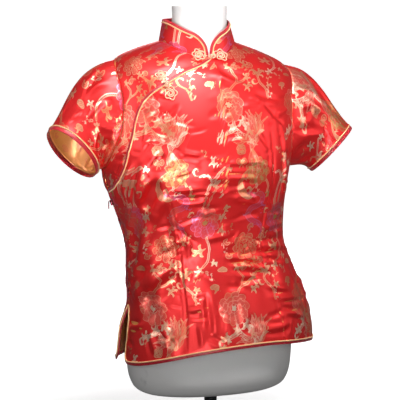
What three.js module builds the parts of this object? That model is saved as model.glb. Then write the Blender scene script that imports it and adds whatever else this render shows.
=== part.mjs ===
// Short-sleeved cheongsam top of red brocade on a limbless dress form.
// Millimetres, +Z up. The garment faces -Y, and +X is the wearer's left.
// The origin is the centre of the stand's underside, on the axis of the pole.
import * as THREE from 'three';

// Driving dimensions
const WALL = 1.4;           // thickness of the cloth bodies
const SEAM = 0.2;           // each piece keeps this far back from a shared seam line
const ARM_GAP = 0.9;        // gap between a sleeve and the armhole's edge
const BIND_WIDTH = 6.8;     // visible width of the satin binding
const CUFF_BIND = 9.5;      // the cuffs' binding is wider
const BIND_SWELL = 0.35;    // the binding stands this much proud on both faces
const PIPE_RADIUS = 1.2;    // gold piping
const PROUD = 0.3;          // clearance under trim that lies on a panel
const SLIT_TOP = 2.1;       // torso row at which the side slits open
const OPENING_RECESS = 3.1; // the underlap lies this far behind the front
const OVERLAP = 22;         // width of the underlap beneath the front
const COLLAR_HEIGHT = 43;
const COLLAR_CORNER = 29;   // radius of the collar's front corners
const CORD_RADIUS = 1.25;   // cord of the frogs
const POLE_RADIUS = 12.5;
const BASE_RADIUS = 140;
const BASE_HEIGHT = 10;

const RAD = Math.PI / 180;
const vec = (x, y, z) => new THREE.Vector3(x, y, z);
const clamp01 = (v) => Math.min(1, Math.max(0, v));
const smooth = (v) => {
  const c = clamp01(v);
  return c * c * (3 - 2 * c);
};
const mix = (a, b, k) => a + (b - a) * k;

function table(columns, rows) {
  const names = columns.split(' ');
  const out = {};
  names.forEach((name, k) => { out[name] = rows.map((row) => row[k]); });
  out.count = rows.length;
  return out;
}

// Catmull-Rom curve through equally spaced values
function spline(values, at) {
  const last = values.length - 1;
  const t = Math.min(last, Math.max(0, at));
  const i = Math.min(last - 1, Math.floor(t));
  const f = t - i;
  const before = values[Math.max(0, i - 1)];
  const from = values[i];
  const to = values[i + 1];
  const after = values[Math.min(last, i + 2)];
  const slope1 = i === 0 ? to - from : (to - before) / 2;
  const slope2 = i === last - 1 ? to - from : (after - from) / 2;
  const h1 = 2 * f ** 3 - 3 * f ** 2 + 1;
  const h2 = f ** 3 - 2 * f ** 2 + f;
  const h3 = -2 * f ** 3 + 3 * f ** 2;
  const h4 = f ** 3 - f ** 2;
  return h1 * from + h2 * slope1 + h3 * to + h4 * slope2;
}

// Rings of the worn torso from the hem to the neckline. side, front and back are heights, lean
// raises the wearer's left, (x, y) is the centre, left/right/fore/aft are half widths, and power
// is the exponent of the rounded outline.
const TORSO = table('side front back lean x y left right fore aft power', [
  [226, 257, 222, 13, 8, 0, 200, 187, 132, 128, 2.2],
  [265, 281, 262, 11, 8, 0, 197, 182, 128, 126, 2.2],
  [329, 334, 327, 6, 5, 4, 187, 171, 120, 118, 2.2],
  [395, 395, 395, 2, -3, 8, 170, 164, 110, 108, 2.2],
  [445, 445, 445, 0, -7, 12, 158, 161, 108, 102, 2.2],
  [505, 505, 505, 0, -8, 18, 158, 176, 122, 104, 2.3],
  [565, 565, 565, -3, -8, 24, 164, 198, 144, 108, 2.35],
  [615, 618, 612, -4, -8, 28, 172, 200, 150, 110, 2.4],
  [670, 673, 667, -4, -8, 32, 179, 192, 138, 108, 2.4],
  [725, 728, 722, -5, -8, 38, 186, 188, 120, 102, 2.3],
  [768, 768, 768, -7, -8, 44, 188, 184, 104, 94, 2.2],
  [795, 787, 799, -7, -8, 48, 169, 164, 92, 86, 2.1],
  [815, 798, 820, -4, -10, 50, 125, 122, 82, 74, 2.05],
  [831, 802, 835, -1, -11, 52, 75, 75, 76, 62, 2.0],
]);
const NECK_ROW = TORSO.count - 1;
const ARM_PIT = 6.45;
const ARM_TIP = 10.8;
const ARM_CUT = { front: 25, back: 21 }; // degrees that the armholes cut into each panel

// The dress form, in the same columns.
const FORM = table('side front back lean x y left right fore aft power', [
  [153, 153, 153, 0, 0, 0, 122, 126, 74, 74, 2.2],
  [155, 155, 155, 0, 0, 0, 138, 144, 88, 88, 2.2],
  [167, 167, 167, 0, 0, 0, 152, 158, 102, 102, 2.2],
  [198, 198, 198, 0, 0, 0, 161, 167, 111, 110, 2.2],
  [260, 260, 260, 0, 0, 0, 163, 168, 112, 114, 2.15],
  [330, 330, 330, 0, 0, 4, 152, 152, 104, 106, 2.1],
  [395, 395, 395, 0, -4, 8, 130, 130, 94, 92, 2.05],
  [445, 445, 445, 0, -7, 12, 119, 119, 90, 84, 2.0],
  [505, 505, 505, 0, -8, 18, 128, 128, 104, 88, 2.05],
  [565, 565, 565, 0, -8, 24, 142, 142, 132, 94, 2.2],
  [615, 618, 612, 0, -8, 28, 152, 152, 138, 98, 2.3],
  [670, 673, 667, -1, -8, 32, 164, 164, 126, 98, 2.3],
  [725, 728, 722, -3, -8, 38, 172, 172, 112, 94, 2.3],
  [764, 763, 765, -7, -8, 44, 172, 170, 98, 87, 2.2],
  [792.4, 781.6, 794.6, -7, -8, 48, 160, 156, 86, 79, 2.1],
  [813.3, 793.6, 816.6, -4, -10, 50, 122, 120, 76, 68, 2.05],
  [829.4, 798, 830.6, -1, -11, 52, 72, 72, 67, 56, 2.0],
  [846, 838, 848, 0, -8, 51, 57, 57, 55, 51, 2.0],
  [872, 870, 873, 0, -6, 50, 54, 54, 52, 48, 2.0],
  [899, 899, 899, 0, -6, 50, 54, 54, 52, 48, 2.0],
]);

// A point of a ring: turn 0 is the front, +90 the wearer's left, 180 the back.
function ringPoint(tab, row, turn) {
  const at = (name) => spline(tab[name], row);
  const s = Math.sin(turn * RAD);
  const c = Math.cos(turn * RAD);
  const e = 2 / at('power');
  const across = Math.sign(s) * Math.abs(s) ** e;
  const along = Math.sign(c) * Math.abs(c) ** e;
  const side = at('side');
  const level = c > 0 ? at('front') : at('back');
  return vec(
    at('x') + (s > 0 ? at('left') : at('right')) * across,
    at('y') - (c > 0 ? at('fore') : at('aft')) * along,
    side + (level - side) * c * c + at('lean') * s,
  );
}

function ringNormal(tab, row, turn) {
  const up = ringPoint(tab, row + 0.02, turn).sub(ringPoint(tab, row - 0.02, turn));
  const round = ringPoint(tab, row, turn + 0.5).sub(ringPoint(tab, row, turn - 0.5));
  const n = round.cross(up).normalize();
  return n;
}

// Broad folds of the torso. Each runs from (turn0, z0) to (turn1, z1); depth is outward.
const FOLDS = table('turn0 z0 turn1 z1 wide depth', [
  [-62, 520, -40, 262, 22, 4.0],
  [-38, 600, -30, 262, 12, -3.0],
  [-78, 470, -55, 300, 18, -3.5],
  [-20, 560, -12, 262, 26, 2.5],
  [6, 540, 18, 262, 22, -2.5],
  [40, 430, 34, 262, 24, 3.5],
  [66, 420, 58, 262, 16, -3.5],
  [82, 380, 84, 262, 18, 3.0],
  [-50, 640, -20, 600, 18, -3.0],
  [62, 560, 30, 500, 16, 3.0],
  [70, 500, 36, 470, 12, -2.5],
  [150, 470, 160, 250, 30, 3.5],
  [-150, 470, -160, 250, 30, 3.5],
  [180, 520, 180, 250, 28, -3.0],
]);
const FOLD_ARM = 2.9; // millimetres of cloth per degree of turn, for the folds' chart

function foldLift(turn, z) {
  let lift = 0;
  for (let k = 0; k < FOLDS.count; k += 1) {
    const ax = FOLDS.turn0[k] * FOLD_ARM;
    const bx = FOLDS.turn1[k] * FOLD_ARM;
    const az = FOLDS.z0[k];
    const bz = FOLDS.z1[k];
    const near = turn - 360 * Math.round((turn - FOLDS.turn0[k]) / 360);
    const px = near * FOLD_ARM;
    const length2 = (bx - ax) ** 2 + (bz - az) ** 2;
    const along = ((px - ax) * (bx - ax) + (z - az) * (bz - az)) / length2;
    const k01 = clamp01(along);
    const gap = Math.hypot(px - mix(ax, bx, k01), z - mix(az, bz, k01));
    const fade = smooth(k01 / 0.3) * (bz < 270 ? 1 : smooth((1 - k01) / 0.3));
    lift += FOLDS.depth[k] * Math.exp(-((gap / FOLDS.wide[k]) ** 2)) * fade;
  }
  return lift;
}

// The worn cloth's outer face. The back panel flares a little at the slits.
function clothPoint(row, turn) {
  const flat = ringPoint(TORSO, row, turn);
  const wrapped = turn > 180 ? turn - 360 : turn;
  const open = smooth((SLIT_TOP + 0.05 - row) / 0.8);
  const nearSide = Math.exp(-(((Math.abs(wrapped) - 92) / 26) ** 2));
  const flare = Math.abs(wrapped) > 90 ? open * nearSide * (wrapped < 0 ? 12 : 5) : 0;
  return flat.addScaledVector(ringNormal(TORSO, row, turn), foldLift(wrapped, flat.z) + flare);
}

// Distance kept from the side seam line: the slit's binding takes its place below SLIT_TOP.
function slitInset(row) {
  return (BIND_WIDTH + PROUD + 0.5) * clamp01((SLIT_TOP - row) / 0.3);
}

// Greatest turn of a panel at a torso row, measured from the panel's own middle.
function panelReach(panel, row, withArm) {
  const depth = spline(panel === 'front' ? TORSO.fore : TORSO.aft, row);
  const power = spline(TORSO.power, row);
  let reach = Math.acos((slitInset(row) / depth) ** (power / 2)) / RAD;
  if (withArm && row > ARM_PIT && row < ARM_TIP) {
    const k = (row - ARM_PIT) / (ARM_TIP - ARM_PIT);
    reach -= ARM_CUT[panel] * Math.sin(Math.PI * k) ** 0.65;
  }
  return reach;
}

// The hem's line, which rounds up at the slits' corners.
function hemRow(u) {
  const corner = clamp01((Math.abs(u) - 0.93) / 0.07);
  return 0.2 + 0.3 * (1 - Math.sqrt(1 - corner * corner));
}

// The curved opening, from the neck to the wearer's right side seam.
const OPENING = table('turn row', [
  [3, NECK_ROW],
  [0, 12.1],
  [-4.5, 11.4],
  [-9.4, 10.82],
  [-20.4, 9.99],
  [-32, 9.44],
  [-41.4, 9.06],
  [-48.2, 8.66],
  [-52.6, 8.2],
  [-54.4, 7.77],
  [-57.4, 7.2],
  [-62, 6.55],
  [-72.4, 5.93],
  [-90, 5.62],
]);

function evenly(points) {
  const reach = [0];
  for (let i = 1; i < points.length; i += 1) {
    reach.push(reach[i - 1] + points[i].distanceTo(points[i - 1]));
  }
  return reach;
}

// Parameter of a table's curve at a fraction of its true length on the cloth
function byLength(samples, place) {
  const keys = [];
  for (let i = 0; i <= samples; i += 1) keys.push(i / samples);
  const reach = evenly(keys.map(place));
  const total = reach[samples];
  return (fraction) => {
    const want = clamp01(fraction) * total;
    let i = 1;
    while (i < samples && reach[i] < want) i += 1;
    const step = reach[i] - reach[i - 1] || 1;
    return mix(keys[i - 1], keys[i], (want - reach[i - 1]) / step);
  };
}

const openingKey = (f) => {
  const at = f * (OPENING.count - 1);
  return { turn: spline(OPENING.turn, at), row: spline(OPENING.row, at) };
};
const openingFraction = byLength(240, (f) => {
  const p = openingKey(f);
  return ringPoint(TORSO, p.row, p.turn);
});
const openingAt = (fraction) => openingKey(openingFraction(fraction));

// share runs from -1 at the hem to 0 at the slit's top, and on to 1 at the panel's top edge.
const PIT_SHARE = (ARM_PIT - SLIT_TOP) / (NECK_ROW - SLIT_TOP);
const TIP_SHARE = (ARM_TIP - SLIT_TOP) / (NECK_ROW - SLIT_TOP);
function panelRow(u, share, top) {
  if (share < 0) return mix(hemRow(u), SLIT_TOP, share + 1);
  return mix(SLIT_TOP, top, share);
}
function shareNodes([slit, side, arm, shoulder]) {
  const stops = [-1, 0, PIT_SHARE, TIP_SHARE, 1];
  const nodes = [-1];
  [slit, side, arm, shoulder].forEach((count, k) => {
    for (let i = 1; i <= count; i += 1) nodes.push(mix(stops[k], stops[k + 1], i / count));
  });
  return nodes;
}

// Front panel: u runs from the wearer's right (-1) to the left (1).
function frontKey(u, share) {
  const pull = Math.max(0, share) ** 2;
  if (u < 0) {
    const top = openingAt(-u);
    const row = panelRow(u, share, top.row);
    return { row, turn: mix(u * panelReach('front', row, false), top.turn, pull) };
  }
  const row = panelRow(u, share, NECK_ROW);
  return { row, turn: u * panelReach('front', row, true) + OPENING.turn[0] * (1 - u) * pull };
}
const backKey = (u, share) => {
  const row = panelRow(u, share, NECK_ROW);
  const turn = 180 - u * panelReach('back', row, true);
  return { row, turn: turn > 180 ? turn - 360 : turn };
};
// Underlap: v = 0 is its hidden edge under the front and v = 1 its sewn edge. Along u the sewn
// edge turns at the neck point, the shoulder tip and the underarm.
const UNDER_COUNTS = [5, 4, 9, 6];
const UNDER = table('u turn row', [
  [0, -5, NECK_ROW],
  [5 / 24, -90, NECK_ROW],
  [9 / 24, -90, ARM_TIP],
  [18 / 24, -90, ARM_PIT],
  [1, -90, 5.1],
]);
function underOuter(u) {
  let i = 0;
  while (i < UNDER.count - 2 && u > UNDER.u[i + 1]) i += 1;
  const k = clamp01((u - UNDER.u[i]) / (UNDER.u[i + 1] - UNDER.u[i]));
  const row = mix(UNDER.row[i], UNDER.row[i + 1], k);
  if (i === 0) return { row, turn: mix(UNDER.turn[0], UNDER.turn[1], k) };
  return { row, turn: -panelReach('front', row, true) };
}
function underInner(u) {
  const p = openingAt(u);
  const side = smooth((u - 0.35) / 0.3);
  const near = smooth(u / 0.12);
  const end = smooth((u - 0.75) / 0.25);
  return {
    turn: p.turn + (OVERLAP / FOLD_ARM) * mix(1, side, near) * (1 - end) * 0.9,
    row: p.row - (OVERLAP / 50) * mix(0, 1 - 0.55 * side, near) - 0.1 * end,
  };
}
function underKey(u, v) {
  const inner = underInner(u);
  const outer = underOuter(u);
  return { turn: mix(inner.turn, outer.turn, v), row: mix(inner.row, outer.row, v) };
}
// How far the underlap lies behind the front: in full near the opening, fading to nothing beyond.
const openingLine = Array.from({ length: 61 }, (_, k) => {
  const p = openingAt(k / 60);
  return clothPoint(p.row, p.turn);
});
function underRecess(p, row, turn, covered) {
  const away = Math.min(...openingLine.map((q) => q.distanceTo(p)));
  const lift = covered ? 0 : smooth((away - BIND_WIDTH - 4) / 26);
  const atNeck = mix(0.85, 1, smooth((NECK_ROW - row) / 0.8));
  const atSide = mix(0.85, 1, smooth((90 + turn) / 6));
  return OPENING_RECESS * (1 - lift) * atNeck * atSide;
}
function underPoint(u, v) {
  const { row, turn } = underKey(u, v);
  const inner = underInner(u);
  const p = clothPoint(row, turn);
  const covered = p.distanceTo(clothPoint(inner.row, inner.turn)) < OVERLAP;
  const recess = underRecess(p, row, turn, covered);
  return p.addScaledVector(ringNormal(TORSO, row, turn), -recess);
}

// Sleeves: each starts on its armhole and ends in an oval cuff. side is -1 for the wearer's right.
const SLEEVES = {
  [-1]: {
    cuff: vec(-270, 30, 621), tall: 66, deep: 50, aim: vec(-0.66, -0.36, -0.66),
    puff: 1.5, under: 0.9,
  },
  1: {
    cuff: vec(271, 34, 610), tall: 60, deep: 53, aim: vec(0.69, -0.25, -0.68),
    puff: 1.3, under: 0.9,
  },
};
// The armhole as the panels' own border nodes, from the underarm over the front to the shoulder
// tip and down the back: positions, normals and the way off the panels into the hole.
function armholeLoop(side, frontEdge, backEdge) {
  const nodes = [...frontEdge, ...backEdge];
  const reach = evenly(nodes.map((n) => n.p));
  const tip = reach[frontEdge.length - 1];
  const total = reach[reach.length - 1];
  const at = (length) => {
    let i = 1;
    while (i < nodes.length - 1 && reach[i] < length) i += 1;
    const k = clamp01((length - reach[i - 1]) / (reach[i] - reach[i - 1]));
    return {
      p: nodes[i - 1].p.clone().lerp(nodes[i].p, k),
      normal: nodes[i - 1].normal.clone().lerp(nodes[i].normal, k).normalize(),
    };
  };
  return (turn) => {
    const length = turn <= 0.5 ? turn * 2 * tip : mix(tip, total, turn * 2 - 1);
    const { p, normal } = at(length);
    const along = at(Math.min(total, length + 3)).p.sub(at(Math.max(0, length - 3)).p).normalize();
    const off = along.clone().cross(normal).normalize();
    if (off.dot(vec(side * 178, 40, 690).sub(p)) < 0) off.negate();
    return { p, normal, off };
  };
}

function cuffFrame(side) {
  const s = SLEEVES[side];
  const aim = s.aim.clone().normalize();
  const down = vec(0, 0, -1).addScaledVector(aim, aim.z).normalize();
  const fore = aim.clone().cross(down).normalize();
  if (fore.y > 0) fore.negate();
  return { aim, down, fore };
}
function sleevePoint(side, hole, around, w) {
  const s = SLEEVES[side];
  const { aim, down, fore } = cuffFrame(side);
  const turn = ((around % 1) + 1) % 1;
  const { p: from, off } = hole(turn);
  const angle = 2 * Math.PI * turn;
  const to = s.cuff.clone()
    .addScaledVector(aim, -CUFF_BIND - PROUD)
    .addScaledVector(down, s.tall * Math.cos(angle))
    .addScaledVector(fore, s.deep * Math.sin(angle));
  const top = 0.5 - 0.5 * Math.cos(angle);
  const leave = vec(side * mix(0.75, 0.9, top), -0.02, mix(-0.3, -0.12, top)).normalize();
  const gap = from.distanceTo(to);
  from.addScaledVector(off, ARM_GAP);
  const h1 = 2 * w ** 3 - 3 * w ** 2 + 1;
  const h2 = w ** 3 - 2 * w ** 2 + w;
  const h3 = -2 * w ** 3 + 3 * w ** 2;
  const h4 = w ** 3 - w ** 2;
  return from.multiplyScalar(h1)
    .addScaledVector(leave, h2 * gap * mix(s.under, s.puff, top))
    .addScaledVector(to, h3)
    .addScaledVector(aim, h4 * gap * 0.9);
}

// Collar: turn goes round the neckline, rise from the seam to the bound edge.
const COLLAR_END = 6; // degrees from the centre front to each end of the band, before its binding
function collarTop(turn) {
  const fromEnd = (Math.abs(turn) - COLLAR_END) * 1.32;
  const k = clamp01(1 - fromEnd / COLLAR_CORNER);
  const drop = COLLAR_CORNER * (1 - Math.sqrt(1 - k * k));
  const behind = 3 * smooth((Math.abs(turn) - 60) / 100);
  return COLLAR_HEIGHT - BIND_WIDTH - PROUD - drop - behind;
}
function collarPoint(turn, rise) {
  const foot = clothPoint(NECK_ROW, turn);
  const centre = vec(TORSO.x[NECK_ROW], TORSO.y[NECK_ROW], foot.z);
  const out = foot.clone().sub(centre).normalize();
  const s = Math.sin(turn * RAD);
  const lean = mix(Math.cos(turn * RAD) > 0 ? 5 : 3, turn > 0 ? 13 : 8, s * s);
  const k = rise / COLLAR_HEIGHT;
  return foot.addScaledVector(out, -lean * k).add(vec(0, 0, rise + 0.35));
}

// Bodies

const MATERIAL = {
  brocade: [0xc8202a, 0.42, 0],
  satin: [0xb0141f, 0.35, 0],
  piping: [0xe6b878, 0.4, 0],
  cord: [0xe9c690, 0.5, 0],
  form: [0xf2f1ee, 0.6, 0],
  black: [0x17171a, 0.4, 0.2],
  zip: [0x7c1520, 0.4, 0.1],
};
const part = new THREE.Group();

function addBody(name, kind, positions, faces) {
  let volume = 0;
  for (const [a, b, c] of faces) {
    volume += positions[a].dot(positions[b].clone().cross(positions[c]));
  }
  const flat = new Float32Array(faces.length * 9);
  faces.forEach((face, f) => {
    const order = volume > 0 ? face : [face[0], face[2], face[1]];
    order.forEach((v, k) => positions[v].toArray(flat, f * 9 + k * 3));
  });
  const geometry = new THREE.BufferGeometry();
  geometry.setAttribute('position', new THREE.BufferAttribute(flat, 3));
  geometry.computeVertexNormals();
  const [color, roughness, metalness] = MATERIAL[kind];
  const material = new THREE.MeshStandardMaterial({ color, roughness, metalness });
  const mesh = new THREE.Mesh(geometry, material);
  mesh.name = name;
  part.add(mesh);
  return mesh;
}

// Outward normals of a grid of points. A border takes its slope from the three nearest points.
function slopeAlong(line, i, wrap) {
  const last = line.length - 1;
  if (wrap) return line[(i + 1) % (last + 1)].clone().sub(line[(i + last) % (last + 1)]);
  if (i > 0 && i < last) return line[i + 1].clone().sub(line[i - 1]);
  const [a, b, c] = i === 0 ? [line[0], line[1], line[2]] : [line[last], line[last - 1], line[last - 2]];
  const slope = b.clone().multiplyScalar(4).addScaledVector(a, -3).sub(c);
  return i === 0 ? slope : slope.negate();
}
function gridNormals(grid, wrap, outward) {
  const rows = grid[0].map((_, j) => grid.map((column) => column[j]));
  return grid.map((column, i) => column.map((p, j) => {
    const n = slopeAlong(rows[j], i, wrap).cross(slopeAlong(column, j, false)).normalize();
    return n.dot(outward(p)) < 0 ? n.negate() : n;
  }));
}

const keyNormal = ({ row, turn }) => ringNormal(TORSO, row, turn);
const keyPoint = ({ row, turn }) => clothPoint(row, turn);

// A sheet of cloth: the grid's outer face, an inner face WALL behind it, and rims.
// trim pulls its edges back from the seam lines, as [u start, u end, v start, v end].
function addSheet(name, kind, sheet) {
  const { cols, rows, wrap = false, place, outward, trim = [0, 0, 0, 0], footNormal, keyAt } = sheet;
  const grid = [];
  const count = wrap ? cols : cols + 1;
  const nodeAt = place ?? ((i, j) => keyPoint(keyAt(i, j)));
  for (let i = 0; i < count; i += 1) {
    const column = [];
    for (let j = 0; j <= rows; j += 1) column.push(nodeAt(i / cols, j / rows));
    grid.push(column);
  }
  const pullBack = (p, inner, amount) => {
    if (amount > 0) p.addScaledVector(inner.clone().sub(p).normalize(), amount);
  };
  if (!wrap) {
    grid[0].forEach((p, j) => pullBack(p, grid[1][j], trim[0]));
    grid[count - 1].forEach((p, j) => pullBack(p, grid[count - 2][j], trim[1]));
  }
  grid.forEach((column) => {
    pullBack(column[0], column[1], trim[2]);
    pullBack(column[rows], column[rows - 1], trim[3]);
  });
  const normals = keyAt
    ? grid.map((column, i) => column.map((_, j) => keyNormal(keyAt(i / cols, j / rows))))
    : gridNormals(grid, wrap, outward);
  if (footNormal) normals.forEach((column, i) => { column[0] = footNormal(i / cols); });
  const points = [];
  const outer = grid.map((column) => column.map((p) => points.push(p) - 1));
  const inner = grid.map((column, i) => column.map((p, j) => (
    points.push(p.clone().addScaledVector(normals[i][j], -WALL)) - 1
  )));
  const faces = [];
  const quad = (a, b, c, d) => faces.push([a, b, c], [a, c, d]);
  const spans = wrap ? count : count - 1;
  for (let i = 0; i < spans; i += 1) {
    const n = (i + 1) % count;
    for (let j = 0; j < rows; j += 1) {
      quad(outer[i][j], outer[n][j], outer[n][j + 1], outer[i][j + 1]);
      quad(inner[i][j + 1], inner[n][j + 1], inner[n][j], inner[i][j]);
    }
    quad(inner[i][0], inner[n][0], outer[n][0], outer[i][0]);
    quad(outer[i][rows], outer[n][rows], inner[n][rows], inner[i][rows]);
  }
  if (!wrap) {
    const end = count - 1;
    for (let j = 0; j < rows; j += 1) {
      quad(inner[0][j + 1], inner[0][j], outer[0][j], outer[0][j + 1]);
      quad(outer[end][j + 1], outer[end][j], inner[end][j], inner[end][j + 1]);
    }
  }
  addBody(name, kind, points, faces);
  return { grid, normals };
}

// Sweeps a flat outline along stations {at, normal, out}: out is away from the panel's edge.
function addStrip(name, kind, stations, outline, closed) {
  const points = [];
  const loops = stations.map((s) => outline.map(([m, n]) => points.push(
    s.at.clone().addScaledVector(s.out, m > PROUD ? PROUD + (m - PROUD) * s.width : m)
      .addScaledVector(s.normal, n),
  ) - 1));
  const faces = [];
  const spans = closed ? stations.length : stations.length - 1;
  const sides = outline.length;
  for (let i = 0; i < spans; i += 1) {
    const a = loops[i];
    const b = loops[(i + 1) % loops.length];
    for (let k = 0; k < sides; k += 1) {
      const n = (k + 1) % sides;
      faces.push([a[k], b[k], b[n]], [a[k], b[n], a[n]]);
    }
  }
  if (!closed) {
    const a = loops[0];
    const b = loops[loops.length - 1];
    for (let k = 1; k < sides - 1; k += 1) {
      faces.push([a[0], a[k], a[k + 1]], [b[0], b[k + 1], b[k]]);
    }
  }
  addBody(name, kind, points, faces);
}

// Stations along the edge of a sheet: path lists [column, row, inner column, inner row] of its
// grid, where the inner node only tells which way is out.
function edgeStations(sheet, path, closed = false) {
  const at = path.map(([i, j]) => sheet.grid[i][j]);
  return path.map(([i, j, inI, inJ], k) => {
    const last = path.length - 1;
    const before = closed ? at[(k + last) % (last + 1)] : at[Math.max(0, k - 1)];
    const after = closed ? at[(k + 1) % (last + 1)] : at[Math.min(last, k + 1)];
    const p = at[k];
    const along = after.clone().sub(before).normalize();
    const normal = sheet.normals[i][j].clone();
    normal.addScaledVector(along, -normal.dot(along)).normalize();
    const out = along.clone().cross(normal).normalize();
    if (out.dot(p.clone().sub(sheet.grid[inI][inJ])) < 0) out.negate();
    return { at: p.clone(), normal, out, width: 1 };
  });
}

const bindOutline = (width) => [
  [PROUD, -WALL - BIND_SWELL],
  [PROUD, BIND_SWELL],
  [width - 0.9, BIND_SWELL],
  [width, -WALL / 2],
  [width - 0.9, -WALL - BIND_SWELL],
];
const pipeOutline = [[0, 1], [1, 0], [0, -1], [-1, 0]].map(([m, n]) => [
  m * PIPE_RADIUS + 0.15,
  n * PIPE_RADIUS + PIPE_RADIUS + BIND_SWELL + PROUD,
]);

function addTrim(name, stations, width, closed) {
  addStrip(`binding_${name}`, 'satin', stations, bindOutline(width), closed);
  addStrip(`piping_${name}`, 'piping', stations, pipeOutline, closed);
}

// Panels

const FRONT = { right: 18, left: 13, counts: [5, 7, 8, 4] };
const frontCols = FRONT.right + FRONT.left;
const frontU = (i) => {
  const col = Math.round(i * frontCols);
  return col < FRONT.right ? col / FRONT.right - 1 : (col - FRONT.right) / FRONT.left;
};
const frontShares = shareNodes(FRONT.counts);
const frontRows = frontShares.length - 1;
const front = addSheet('front', 'brocade', {
  cols: frontCols,
  rows: frontRows,
  keyAt: (i, j) => frontKey(frontU(i), frontShares[Math.round(j * frontRows)]),
  trim: [SEAM, SEAM, 0, 0],
});
const underCols = UNDER_COUNTS.reduce((sum, n) => sum + n);
const underRows = 7;
const underlap = addSheet('front_underlap', 'brocade', {
  cols: underCols,
  rows: underRows,
  place: (i, j) => underPoint(i, j),
  keyAt: (i, j) => underKey(i, j),
  trim: [0, SEAM, 0, SEAM],
});
const BACK = { cols: 26, counts: [4, 6, 7, 3] };
const backShares = shareNodes(BACK.counts);
const backRows = backShares.length - 1;
const back = addSheet('back', 'brocade', {
  cols: BACK.cols,
  rows: backRows,
  keyAt: (i, j) => backKey(i * 2 - 1, backShares[Math.round(j * backRows)]),
  trim: [SEAM, SEAM, 0, 0],
});

const span = (from, to) => {
  const step = from < to ? 1 : -1;
  return Array.from({ length: Math.abs(to - from) + 1 }, (_, k) => from + k * step);
};
const nodesOf = (sheet, list) => list.map(([i, j]) => (
  { p: sheet.grid[i][j], normal: sheet.normals[i][j] }
));
const armRows = (counts) => {
  const pit = counts[0] + counts[1];
  return span(pit, pit + counts[2]);
};
const underArm = span(UNDER_COUNTS[0] + UNDER_COUNTS[1], underCols - UNDER_COUNTS[3]).reverse();
const backArm = armRows(BACK.counts).reverse();
const armholes = {
  [-1]: armholeLoop(-1, nodesOf(underlap, underArm.map((i) => [i, underRows])),
    nodesOf(back, backArm.map((j) => [0, j]))),
  1: armholeLoop(1, nodesOf(front, armRows(FRONT.counts).map((j) => [frontCols, j])),
    nodesOf(back, backArm.map((j) => [BACK.cols, j]))),
};

const SLEEVE = { cols: 34, rows: 7 };
const sleeves = [-1, 1].map((side) => addSheet(side < 0 ? 'sleeve_right' : 'sleeve_left', 'brocade', {
  cols: SLEEVE.cols,
  rows: SLEEVE.rows,
  wrap: true,
  footNormal: (i) => armholes[side](i).normal,
  place: (i, j) => sleevePoint(side, armholes[side], i, j),
  outward: (p) => {
    const k = clamp01((Math.abs(p.x) - 150) / 120);
    return p.clone().sub(vec(side * 175, 40, 690).lerp(SLEEVES[side].cuff, k));
  },
}));
const COLLAR = { cols: 46, rows: 3 };
const collar = addSheet('collar', 'brocade', {
  cols: COLLAR.cols,
  rows: COLLAR.rows,
  place: (i, j) => {
    const turn = mix(COLLAR_END, 360 - COLLAR_END, i);
    const wrapped = turn > 180 ? turn - 360 : turn;
    return collarPoint(wrapped, collarTop(wrapped) * j);
  },
  outward: (p) => vec(p.x - TORSO.x[NECK_ROW], p.y - TORSO.y[NECK_ROW], 0),
});

// Bindings and pipings

// The hem's trim starts narrow just below the top of one slit and ends so at the other.
function hemStations(sheet, cols, slit) {
  const path = [
    ...span(slit - 1, 1).map((j) => [0, j, 1, j]),
    [0, 0, 1, 1],
    ...span(1, cols - 1).map((i) => [i, 0, i, 1]),
    [cols, 0, cols - 1, 1],
    ...span(1, slit - 1).map((j) => [cols, j, cols - 1, j]),
  ];
  const list = edgeStations(sheet, path);
  const taper = (column, near) => ({
    ...near,
    at: sheet.grid[column][slit].clone().lerp(sheet.grid[column][slit - 1], 0.35),
    width: 0.3,
  });
  list.unshift(taper(0, list[0]));
  list.push(taper(cols, list[list.length - 1]));
  return list;
}
addTrim('hem_front', hemStations(front, frontCols, FRONT.counts[0]), BIND_WIDTH, false);
addTrim('hem_back', hemStations(back, BACK.cols, BACK.counts[0]), BIND_WIDTH, false);

const openingPath = span(FRONT.right, 0).map((i) => [i, frontRows, i, frontRows - 1]);
const openingStations = edgeStations(front, openingPath);
const openingEnd = openingStations.length - 1;
openingStations[0].at.lerp(openingStations[1].at, 0.1);
openingStations[0].width = 0.08;
openingStations[openingEnd].at.lerp(openingStations[openingEnd - 1].at, 0.06);
addTrim('opening', openingStations, BIND_WIDTH, false);

const collarPath = [
  ...span(0, COLLAR.rows - 1).map((j) => [0, j, 1, j]),
  ...span(0, COLLAR.cols).map((i) => [i, COLLAR.rows, i, COLLAR.rows - 1]),
  ...span(COLLAR.rows - 1, 0).map((j) => [COLLAR.cols, j, COLLAR.cols - 1, j]),
];
addTrim('collar', edgeStations(collar, collarPath), BIND_WIDTH, false);

sleeves.forEach((sheet, k) => {
  const path = span(0, SLEEVE.cols - 1).map((i) => [i, SLEEVE.rows, i, SLEEVE.rows - 1]);
  addTrim(k === 0 ? 'cuff_right' : 'cuff_left', edgeStations(sheet, path, true), CUFF_BIND, true);
});

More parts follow.
